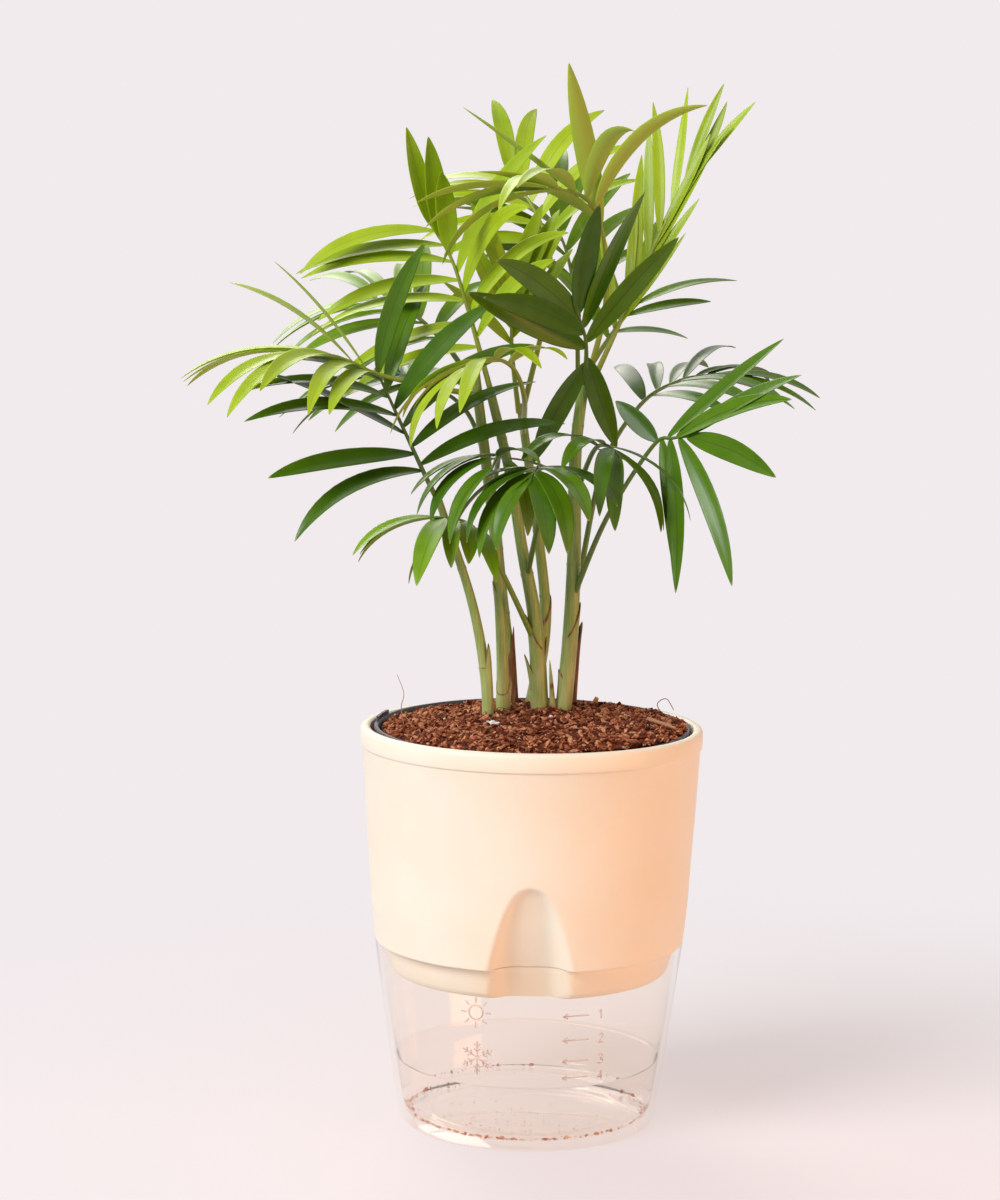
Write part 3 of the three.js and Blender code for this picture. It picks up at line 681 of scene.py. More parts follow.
# %% Fibres, and the mix as one piece
FIBRES = 90
fibres = []
for i in range(FIBRES):
    reach, turn = 45 * math.sqrt(abs(scatter(11, i))), math.pi * scatter(12, i)
    start = Vector((reach * math.cos(turn), reach * math.sin(turn), 0))
    heading = Vector((scatter(13, i), scatter(14, i), 0)).normalized() * (2 + 1.6 * scatter(15, i))
    aside = heading.cross(Vector((0, 0, 1))) * 0.35 * scatter(16, i)
    line = [start, start + heading + aside, start + 2 * heading]
    for k, p in enumerate(line):
        p.z = mix_height(p.x, p.y) + (0.5, 1.3 + 0.6 * scatter(17, i), 0.4)[k]
    if all(math.hypot(p.x, p.y) < 46.5 for p in line):
        fibres.append(strand("fibre", line, lambda share: 0.13, 5, 0))
        set_tint(fibres[-1], 0.75 + 0.25 * scatter(18, i))
set_tint(mix, [0.18 + 0.25 * noise.noise(v.co * 300) for v in mix.data.vertices])
mix = join([mix, crumbs, *fibres], "potting_mix")
print("mix:", len(fibres), "fibres,", len(mix.data.polygons), "faces")

# %% [markdown]
# ### Ground coir
# Coir is dry and matt. Each crumb has its own brown, from nearly black through red-brown to a pale
# cork, and a rough broken face. The tint that each copy carries picks the brown, and a noise of about
# 1 mm breaks it up.

# %% Ground coir
coir = new_finish("ground coir, loose crumbs")
place = add_node(coir, "TexCoord")
own_tint = add_node(coir, "Attribute", attribute_name="tint")
flecks = add_node(coir, "TexNoise", {
    "Vector": place.outputs["Object"], "Scale": 1 / (1.1 * MM), "Detail": 3.0,
})
mixed = add_node(coir, "Math", {0: own_tint.outputs["Fac"], 1: flecks.outputs["Fac"]}, operation="ADD")
halved = add_node(coir, "Math", {0: mixed.outputs[0], 1: 0.55}, operation="MULTIPLY")
browns = add_node(coir, "ValToRGB", {"Fac": halved.outputs[0]}, stops=(
    (0.14, "#220903"), (0.34, "#501d0a"), (0.52, "#874528"), (0.7, "#b46f4a"), (0.92, "#e6b188"),
))
broken = add_node(coir, "Bump", {"Height": flecks.outputs["Fac"], "Strength": 0.7, "Distance": 0.3 * MM})
show(coir, add_node(coir, "BsdfPrincipled", {
    "Base Color": browns.outputs["Color"], "Roughness": 0.92, "Specular IOR Level": 0.25,
    "Normal": broken.outputs["Normal"],
}))
hand_over(mix, coir, "coir_mix", "potting_mix")

# %% [markdown]
# ### Bits in the mix
# A pale wood chip, a twig, a few white grains of perlite and two long fibres lie in the mix or stand up
# from it. They are few and each has its own shape, so each is made for itself: the chip is a cube that
# is tapered, bevelled and laid askew, the twig and the fibres are strands.

# %% Chip, twig, perlite and long fibres
def on_mix(x, y, above=0.0):
    """A point in millimetres at x, y and a height above the mix."""
    return Vector((x, y, mix_height(x, y) + above))


bpy.ops.object.select_all(action="DESELECT")
bpy.ops.mesh.primitive_cube_add(size=1)
chip = bpy.context.object
bpy.ops.object.mode_set(mode="EDIT")
bpy.ops.mesh.select_all(action="SELECT")
bpy.ops.mesh.subdivide(number_cuts=2)
bpy.ops.transform.vertex_random(offset=0.07, seed=8)
bpy.ops.mesh.bevel(offset=0.04, segments=1)
bpy.ops.object.mode_set(mode="OBJECT")
for point in chip.data.vertices:
    point.co.x *= 1 - 0.45 * (point.co.z + 0.5)
chip_turn = Matrix.Rotation(0.35, 4, "Y") @ Matrix.Rotation(0.2, 4, "X")
chip_size = Matrix.Diagonal((2.4 * MM, 1.3 * MM, 3.8 * MM, 1))
chip.data.transform(Matrix.Translation(on_mix(21, 26, 1.5) * MM) @ chip_turn @ chip_size)

twig_line = [on_mix(37, -6, 1.6), on_mix(41.5, -9, 1.9), on_mix(45.5, -14, 1.4)]
twig = strand("twig", twig_line, lambda share: 0.75 - 0.3 * share, 8, 2)
side_twig = strand("twig", [on_mix(42, -9, 1.7), on_mix(44, -6, 3.0), on_mix(46.5, -4, 2.6)],
                   lambda share: 0.3, 6, 1)
curl = [on_mix(43, 14, 0.5), on_mix(41, 14, 4.0), on_mix(44, 15, 6.2), on_mix(46.5, 15, 3.4)]
curled = strand("twig", curl, lambda share: 0.14, 14, 0)
upright = [on_mix(-41, -6, 0), on_mix(-42, -6, 6.5), on_mix(-41.2, -6, 11), on_mix(-43.4, -6, 17)]
standing = strand("twig", upright, lambda share: 0.17 - 0.09 * share, 12, 0)
root_hair = [on_mix(-7.5, -2, 1.0), on_mix(-6.6, -4, 1.8), on_mix(-9, -10, 1.6), on_mix(-12, -15, 0.9)]
hair = strand("twig", root_hair, lambda share: 0.2, 12, 0)
woody = [chip, twig, side_twig, curled, standing, hair]
for piece, tint in zip(woody, (0.95, 0.6, 0.35, 0.3, 0.6, 0.25)):
    set_tint(piece, tint)
woody = join(woody, "wood_bits")

bpy.ops.object.select_all(action="DESELECT")
bpy.ops.mesh.primitive_ico_sphere_add(subdivisions=2, radius=1)
grain_of_perlite = bpy.context.object
bpy.ops.object.mode_set(mode="EDIT")
bpy.ops.mesh.select_all(action="SELECT")
bpy.ops.transform.vertex_random(offset=0.16, seed=5)
bpy.ops.object.mode_set(mode="OBJECT")
PERLITE = (
    (-12.5, -17, 1.0), (-11, -18, 0.6), (-14, -15.5, 0.5), (6, -10, 0.55), (30, -2, 0.4), (-28, -8, 0.4),
)
perlite_places = []
for i, (x, y, size) in enumerate(PERLITE):
    spot = on_mix(x, y, 1.1)
    perlite_places.append(laid(21, i, spot.x, spot.y, spot.z, size, 0.8, 1.3))
perlite = place_copies("perlite", grain_of_perlite, perlite_places, [0.5] * len(PERLITE))
bpy.data.objects.remove(grain_of_perlite)

# %% Dry wood and perlite
dry_wood = new_finish("dry wood and bark, broken")
place = add_node(dry_wood, "TexCoord")
own_tint = add_node(dry_wood, "Attribute", attribute_name="tint")
fibre_grain = add_node(dry_wood, "TexNoise", {
    "Vector": place.outputs["Object"], "Scale": 1 / (0.8 * MM), "Detail": 4.0,
})
shifted = add_node(dry_wood, "Math", {
    0: fibre_grain.outputs["Fac"], 1: 0.25, 2: -0.12,
}, operation="MULTIPLY_ADD")
sum_tint = add_node(dry_wood, "Math", {0: own_tint.outputs["Fac"], 1: shifted.outputs[0]}, operation="ADD")
woods = add_node(dry_wood, "ValToRGB", {"Fac": sum_tint.outputs[0]}, stops=(
    (0.1, "#4a2417"), (0.4, "#8a5a3c"), (0.65, "#b98a63"), (0.95, "#e3b983"),
))
rough_wood = add_node(dry_wood, "Bump", {
    "Height": fibre_grain.outputs["Fac"], "Strength": 0.4, "Distance": 0.15 * MM,
})
show(dry_wood, add_node(dry_wood, "BsdfPrincipled", {
    "Base Color": woods.outputs["Color"], "Roughness": 0.8, "Normal": rough_wood.outputs["Normal"],
}))
expanded = new_finish("expanded perlite grains")
place = add_node(expanded, "TexCoord")
# The grey spots are painted shade in the grain's pores; between them the grain keeps its own white.
pore_shade_spots = add_node(expanded, "TexVoronoi", {"Vector": place.outputs["Object"], "Scale": 1 / (0.5 * MM)})
whites_and_pore_shade = add_node(expanded, "ValToRGB", {"Fac": pore_shade_spots.outputs["Distance"]}, stops=(
    (0.1, "#b9b4ae"), (0.5, "#f4f2ee"),
))
show(expanded, add_node(expanded, "BsdfPrincipled", {
    "Base Color": whites_and_pore_shade.outputs["Color"], "Roughness": 0.75, "Specular IOR Level": 0.4,
}))
hand_over(woody, dry_wood, "coir_mix")
hand_over(perlite, expanded, "coir_mix")

# %% [markdown]
# ### Crumbs washed into the reservoir
# Watering has carried some coir through the shell's drain holes. It lies in the corner between the
# reservoir's floor and wall, thickest at the left, so the same sort of crumb is copied round that ring.
# These crumbs get paler browns than those in the mix, as painted light for the shade they lie in under the
# shell.

# %% Washed-down crumbs
WASHED = 300
bpy.ops.object.select_all(action="DESELECT")
bpy.ops.mesh.primitive_ico_sphere_add(subdivisions=1, radius=1)
washed_crumb = bpy.context.object
bpy.ops.object.mode_set(mode="EDIT")
bpy.ops.mesh.select_all(action="SELECT")
bpy.ops.transform.vertex_random(offset=0.3, seed=11)
bpy.ops.object.mode_set(mode="OBJECT")
# The tints of the washed crumbs pick paler browns than the mix's crumbs: painted light that makes up for the
# shade under the shell.
washed_places, washed_painted_light_tints = [], []
for i in range(WASHED):
    turn = math.radians(-110) + math.pi * scatter(31, i) * abs(scatter(36, i)) ** 0.6
    crowd = abs(scatter(32, i))
    in_corner = i % 6 > 0
    reach = inner_wall(6) - 2.5 - 1.6 * crowd ** 2 if in_corner else 36 * math.sqrt(crowd)
    size = 0.2 + 0.5 * abs(scatter(33, i)) ** 3 if in_corner else 0.14 + 0.1 * crowd
    height = 4.3 if abs(reach - RIB) < 2 else 3.25
    washed_places.append(laid(
        34, i, reach * math.cos(turn), reach * math.sin(turn), height + size * 0.7, size, 0.7, 1.5,
    ))
    washed_painted_light_tints.append(0.95 + 0.3 * scatter(35, i))
washed = place_copies("washed_crumbs", washed_crumb, washed_places, washed_painted_light_tints)
bpy.data.objects.remove(washed_crumb)
hand_over(washed, coir, "coir_mix")

# %% [markdown]
# ## Level marks
# The reservoir's front carries a raised scale: a sun by the high level for the warm months, a snow star
# by the low one, and four numbered dashes. The mould has them cut in, so they stand proud of the wall by
# a few tenths of a millimetre and look frosted. They are drawn as strokes on a flat sheet, in
# millimetres across and up, and each stroke becomes a thin strand that is wrapped round the wall. Text
# objects would do for the numbers, but their filled letters don't look like a mould-maker's strokes.

# %% Strokes wrapped round the reservoir
STROKE = 0.24           # radius of a raised stroke
WALL_GAP = 0.02
SUN, STAR = (-17, 46.6), (-16.4, 31.5)
DASH_LEFT, NUMBER_LEFT = 10.6, 22.6
LEVELS = (46, 38, 31, 25.5)
DIGITS = (
    [[(0, 2.2), (0.8, 3)], [(0.8, 3), (0.8, 0)]],
    [[(0, 2.4), (0.9, 3), (1.7, 2.2), (0.9, 1), (0, 0)], [(0, 0), (1.8, 0)]],
    [[(0, 2.7), (1, 3), (1.7, 2.3), (0.8, 1.6)], [(0.8, 1.6), (1.8, 0.9), (1, 0), (0, 0.3)]],
    [[(1.3, 3), (0, 0.9)], [(0, 0.9), (1.9, 0.9)], [(1.3, 3), (1.3, 0)]],
)


def wrapped(across, up):
    """The point on the reservoir's wall at a distance across its front and a height."""
    radius = radius_at(RESERVOIR_OUTLINE, up) + WALL_GAP + STROKE
    turn = across / radius
    return Vector((radius * math.sin(turn), -radius * math.cos(turn), up))


def ray(centre, inner, outer, turn):
    """A straight stroke that points away from a centre."""
    way = (math.cos(turn), math.sin(turn))
    return [(centre[0] + way[0] * r, centre[1] + way[1] * r) for r in (inner, outer)]


def moved(stroke, across, up):
    return [(x + across, z + up) for x, z in stroke]


marks = [[ray(SUN, 0, 2.3, math.tau * k / 16)[1] for k in range(17)]]
marks += [ray(SUN, 3.2, 5.0, math.tau * k / 8) for k in range(8)]
for k in range(6):
    spoke = math.tau * (k + 0.5) / 6
    marks.append(ray(STAR, 0.4, 5.6, spoke))
    for inner, barb in ((2.2, 1.5), (3.8, 1.3)):
        joint = ray(STAR, 0, inner, spoke)[1]
        marks += [ray(joint, 0, barb, spoke + bend) for bend in (0.9, -0.9)]
for level, digit in zip(LEVELS, DIGITS):
    marks.append([(DASH_LEFT, level), (DASH_LEFT + 8.6, level)])
    marks += [[(DASH_LEFT, level), (DASH_LEFT + 1.6, level + barb)] for barb in (0.9, -0.9)]
    marks += [moved(stroke, NUMBER_LEFT, level - 1.5) for stroke in digit]
raised = [strand("mark", [wrapped(*p) for p in stroke], lambda share: STROKE, 4 * (len(stroke) - 1), 1)
          for stroke in marks]
raised = join(raised, "level_marks")
frosted = new_finish("clear polystyrene, frosted by the mould")
place = add_node(frosted, "TexCoord")
etching = add_node(frosted, "TexNoise", {
    "Vector": place.outputs["Object"], "Scale": 1 / (0.4 * MM), "Detail": 1.0,
})
milky = add_node(frosted, "ValToRGB", {"Fac": etching.outputs["Fac"]}, stops=(
    (0.3, "#e6cfc4"), (0.7, "#fbeee8"),
))
show(frosted, add_node(frosted, "BsdfPrincipled", {
    "Base Color": milky.outputs["Color"], "Roughness": 0.35, "IOR": 1.3, "Transmission Weight": 0.55,
}))
hand_over(raised, frosted, "clear_plastic")
print("level marks:", len(marks), "strokes")

# %% [markdown]
# ## Stems
# Each palm has one slim upright stem, green and smooth, ringed with thin brown scars where old leaves
# have dropped off. It is a strand like the twigs, with more corners, and swells a little at each scar.
# The points are those that the frame's stems follow, with the radius as the last number.

# %% Stems
STEMS = {
    "stem_left": ((-14, -3, 125.5, 2.1), (-15, -3, 145, 1.8), (-20, -4, 171, 1.5), (-31, -7, 204, 1.2)),
    "stem_mid_left": (
        (-9, 8, 125.5, 2.4), (-10, 8, 155, 1.9), (-12, 8, 184, 1.8), (-15, 6, 208, 1.8), (-20, 2, 245, 1.6),
    ),
    "stem_mid_left_back": (
        (-6, 25, 125.5, 2.2), (-8, 25, 152, 1.8), (-10, 26, 170, 1.6), (-13, 28, 200, 1.3),
    ),
    "stem_centre_back": ((-1, 28, 125.5, 2.2), (4, 28, 158, 1.9), (2, 28, 185, 1.7), (-5, 26, 232, 1.4)),
    "stem_centre": (
        (3, 11, 125.5, 3.2), (1, 10, 160, 2.4), (-4, 8, 187, 1.9), (-8, 6, 210, 1.7), (-15, 4, 238, 1.5),
    ),
    "stem_right": (
        (9.6, 11, 125.5, 2.8), (12, 11, 155, 2.6), (13, 11, 184, 2.3), (13, 11, 218, 2), (16, 10, 246, 1.7),
    ),
    "stem_right_back": ((12, 30, 125.5, 2.4), (13, 30, 154, 1.9), (14, 29, 176, 1.4)),
}
SCARS = {
    "stem_left": (149, 181),
    "stem_mid_left": (176, 196),
    "stem_mid_left_back": (163, 184),
    "stem_centre_back": (168.5, 190, 212),
    "stem_centre": (178, 201, 222),
    "stem_right": (181, 205, 226),
    "stem_right_back": (164,),
}
SCAR_HALF = 0.35


def axis_of(name):
    return [Vector(p[:3]) for p in STEMS[name]]


def stem_radius(name, share):
    """A stem's radius in millimetres at a share of its length."""
    radii = [p[3] for p in STEMS[name]]
    place = min(max(share, 0), 1) * (len(radii) - 1)
    i = min(int(place), len(radii) - 2)
    return radii[i] + (radii[i + 1] - radii[i]) * (place - i)


def share_at(name, z):
    """The share of a stem's length at which it reaches height z."""
    line = axis_of(name)
    low, high = 0.0, 1.0
    for _ in range(24):
        middle = (low + high) / 2
        low, high = (middle, high) if smooth_point(line, middle).z < z else (low, middle)
    return low


def scarred(z, scars):
    """1 on a leaf scar, falling to 0 within half a millimetre."""
    return max([max(0.0, 1 - abs(z - s) / (2 * SCAR_HALF)) for s in scars] or [0.0])


def make_stem(name):
    line = axis_of(name)
    swollen = lambda share: stem_radius(name, share) + 0.16 * scarred(smooth_point(line, share).z, SCARS[name])
    steps = round((line[-1] - line[0]).length / 0.7)
    made = strand(name, line, swollen, steps, 5)
    partly = [0.35 + 0.6 * noise.noise(v.co * 320) for v in made.data.vertices]
    rings = [scarred(v.co.z / MM, SCARS[name]) for v in made.data.vertices]
    set_tint(made, [ring * share + 0.12 * ring for ring, share in zip(rings, partly)], "dry")
    return made


stems = {name: make_stem(name) for name in STEMS}
print("stems:", {name: len(made.data.polygons) for name, made in stems.items()})

# %% [markdown]
# ### Sheaths
# At its foot each leaf stalk widens into a sheath that wraps the stem. Its mouth is cut at a slant, with
# a thin brown edge that has dried, and the oldest sheaths are brown paper all over. One sleeve is
# modelled, as a ring extruded upwards row by row. Each copy's rows are laid along its stem, the mouth
# is slanted by how high each point may climb, and Solidify gives it a wall.

# %% A sleeve, and the sheaths made from it
SLEEVE_SIDES = 20
SLEEVE_ROWS = 12
bpy.ops.object.select_all(action="DESELECT")
bpy.ops.mesh.primitive_circle_add(vertices=SLEEVE_SIDES, radius=1, fill_type="NOTHING", location=(0, 0, 0))
sleeve = bpy.context.object
bpy.ops.object.mode_set(mode="EDIT")
bpy.ops.mesh.select_all(action="SELECT")
for _ in range(SLEEVE_ROWS):
    bpy.ops.mesh.extrude_region_move(TRANSFORM_OT_translate={"value": (0, 0, 1 / SLEEVE_ROWS)})
bpy.ops.mesh.select_all(action="SELECT")
bpy.ops.mesh.normals_make_consistent(inside=False)
bpy.ops.object.mode_set(mode="OBJECT")

# stem, foot height, lowest and highest point of the mouth, turn of the high side in degrees,
# radius at foot and mouth, lean at the mouth in x and y, and how dry it is
SHEATHS = (
    ("stem_left", 126, 143, 157.5, -50, 1.8, 0.8, (2.0, -1.2), 0.0),
    ("stem_mid_left", 126, 139, 150, 80, 1.85, 1.6, (0, 0), 0.0),
    ("stem_mid_left", 140, 166, 176, 200, 1.55, 1.5, (-0.5, 0), 0.0),
    ("stem_mid_left_back", 126, 146, 159, 0, 2.5, 1.8, (0.6, 0), 0.85),
    ("stem_centre", 126, 154, 165, 175, 2.8, 2.2, (-0.6, -0.5), 0.0),
    ("stem_centre", 126, 141, 152, 200, 2.0, 1.2, (-3.2, -0.8), 0.1),
    ("stem_centre", 126, 148, 158, 20, 2.1, 0.8, (2.4, -0.3), 0.15),
    ("stem_centre_back", 126, 160, 169, 30, 2.5, 2.0, (0, 0), 0.12),
    ("stem_right", 126, 158, 169, 20, 2.4, 2.2, (0.5, -0.4), 0.0),
    ("stem_right", 126, 141, 147, 190, 2.6, 2.3, (-0.6, 0), 0.25),
    ("stem_right_back", 126, 148, 160, 20, 2.9, 2.2, (1.2, 0), 0.95),
)


def make_sheath(spec, i):
    name, foot, low, high, high_side, wide, narrow, shift, dryness = spec
    made = sleeve.copy()
    made.data = sleeve.data.copy()
    bpy.context.collection.objects.link(made)
    line, dry = axis_of(name), []
    for point in made.data.vertices:
        turn = math.atan2(point.co.y, point.co.x)
        up = point.co.z
        facing = (1 + math.cos(turn - math.radians(high_side))) / 2
        mouth = low + (high - low) * facing ** 1.6
        z = foot + (mouth - foot) * up
        share = share_at(name, z)
        climb = (z - foot) / (high - foot)
        radius = wide + (narrow - wide) * climb + 0.25 * up ** 8 + 0.05 * math.sin(3 * turn + i)
        radius = max(radius, stem_radius(name, share) + 0.15) if climb < 0.75 and not any(shift) else radius
        centre = smooth_point(line, share) + Vector((shift[0], shift[1], 0)) * climb ** 1.4
        point.co = (centre + Vector((math.cos(turn), math.sin(turn), 0)) * radius) * MM
        streak = 0.5 + 0.5 * noise.noise(Vector((turn * 2, z * 0.08, i)))
        edge = max(0.0, 1 - (1 - up) * (mouth - foot) / 1.0) * (0.25 + 0.9 * streak)
        dry.append(min(1.0, edge + dryness * (0.6 + 0.6 * streak)))
    set_tint(made, dry, "dry")
    bpy.ops.object.select_all(action="DESELECT")
    made.select_set(True)
    bpy.context.view_layer.objects.active = made
    wall = made.modifiers.new("wall", "SOLIDIFY")
    wall.thickness = 0.3 * MM
    smooth = made.modifiers.new("smooth", "SUBSURF")
    smooth.levels = smooth.render_levels = 1
    bpy.ops.object.modifier_apply(modifier=wall.name)
    bpy.ops.object.modifier_apply(modifier=smooth.name)
    bpy.ops.object.shade_smooth_by_angle(angle=math.radians(60))
    return made


sheaths = {name: [] for name in STEMS}
for i, spec in enumerate(SHEATHS):
    sheaths[spec[0]].append(make_sheath(spec, i))
bpy.data.objects.remove(sleeve)

spike_line = [Vector((7.2, 9, 128)), Vector((6.4, 8.6, 140)), Vector((5.6, 8.4, 150))]
spike = strand("spike", spike_line, lambda share: 1.2 * (1 - share) ** 0.7 + 0.08, 14, 2)
set_tint(spike, [min(1, 0.2 + 0.9 * abs(noise.noise(v.co * 250))) for v in spike.data.vertices], "dry")
sheaths["stem_right"].append(spike)
print("sheaths:", len(SHEATHS), "and one dried spike")

# %% [markdown]
# ### Green stem skin
# A palm's young stem is waxy and smooth, olive at the top and paler at the foot, where it is buried and
# rubbed. Fine lengthwise streaks follow it, about half a millimetre apart. The dry attribute written
# on the scars and the sheaths' edges turns the skin to brown paper, which is also rougher.

# %% Stem skin
def stem_skin(name, foot, middle, top, gloss):
    """Waxy green skin, graded by height, that dries to brown where the dry attribute says."""
    finish = new_finish(name)
    place = add_node(finish, "TexCoord")
    axes = add_node(finish, "SeparateXYZ", {0: place.outputs["Object"]})
    height = add_node(finish, "MapRange", {"Value": axes.outputs["Z"], "From Min": 0.126, "From Max": 0.245})
    wide_noise = add_node(finish, "TexNoise", {
        "Vector": place.outputs["Object"], "Scale": 1 / (9 * MM), "Detail": 3.0,
    })
    drift = add_node(finish, "Math", {
        0: wide_noise.outputs["Fac"], 1: 0.45, 2: -0.22,
    }, operation="MULTIPLY_ADD")
    graded = add_node(finish, "Math", {0: height.outputs["Result"], 1: drift.outputs[0]}, operation="ADD")
    greens = add_node(finish, "ValToRGB", {"Fac": graded.outputs[0]}, stops=(
        (0.02, foot), (0.3, middle), (0.9, top),
    ))
    long_way = add_node(finish, "Mapping", {"Vector": place.outputs["Object"], "Scale": (1, 1, 0.06)})
    streaks = add_node(finish, "TexNoise", {
        "Vector": long_way.outputs["Vector"], "Scale": 1 / (0.5 * MM), "Detail": 2.0,
    })
    streaked = add_node(finish, "Mix", {
        0: 0.35, 6: greens.outputs["Color"],
        7: add_node(finish, "ValToRGB", {"Fac": streaks.outputs["Fac"]}, stops=(
            (0.35, top), (0.65, foot),
        )).outputs["Color"],
    }, data_type="RGBA")
    dryness = add_node(finish, "Attribute", attribute_name="dry")
    paper = add_node(finish, "ValToRGB", {"Fac": streaks.outputs["Fac"]}, stops=(
        (0.3, "#5a3420"), (0.55, "#8a5a38"), (0.75, "#bd9468"),
    ))
    ragged = add_node(finish, "Math", {0: streaks.outputs["Fac"], 1: 0.5, 2: -0.25}, operation="MULTIPLY_ADD")
    amount = add_node(finish, "Math", {0: dryness.outputs["Fac"], 1: ragged.outputs[0]}, operation="ADD")
    browned = add_node(finish, "MapRange", {"Value": amount.outputs[0], "From Min": 0.3, "From Max": 0.6})
    skin = add_node(finish, "Mix", {
        0: browned.outputs["Result"], 6: streaked.outputs[2], 7: paper.outputs["Color"],
    }, data_type="RGBA")
    shine = add_node(finish, "MapRange", {"Value": browned.outputs["Result"], "To Min": gloss, "To Max": 0.8})
    relief = add_node(finish, "Bump", {
        "Height": streaks.outputs["Fac"], "Strength": 0.25, "Distance": 0.1 * MM,
    })
    return show(finish, add_node(finish, "BsdfPrincipled", {
        "Base Color": skin.outputs[2], "Roughness": shine.outputs["Result"],
        "Normal": relief.outputs["Normal"],
        "Subsurface Weight": 0.15, "Subsurface Scale": 1.0 * MM, "Subsurface Radius": (0.6, 1.0, 0.2),
    }))


skin = stem_skin("waxy young palm stem", "#bcc07c", "#88a046", "#769438", 0.4)
for name, made in stems.items():
    whole = join([made, *sheaths[name]], name)
    hand_over(whole, skin, "stem", name)

# %% [markdown]
# ## Leaves
# A parlour palm's leaf is a feather: a thin stalk, the petiole, runs on as the rachis, and slender
# leaflets stand along it in pairs, each with a lengthwise fold and arching under its own weight. The
# numbers below say how each leaf grows. The stalk's path runs from inside the stem to the tip, and
# blade is the point of it where the leaflets begin. The face is where the leaf's upper side looks.
# Spread is the leaflets' angle to the rachis at the blade's start and tip, skew the degrees that one
# side stands off more than the other, lift their angle above the blade, and droop how far they bend
# down. Light is how far their upper sides turn to the sky, tone their age from 0, young, to 1. Leaflets
# are counted in pairs from the blade's start, the even ones on the left, and own names those that grew
# differently, with scale as their length over the frond's.

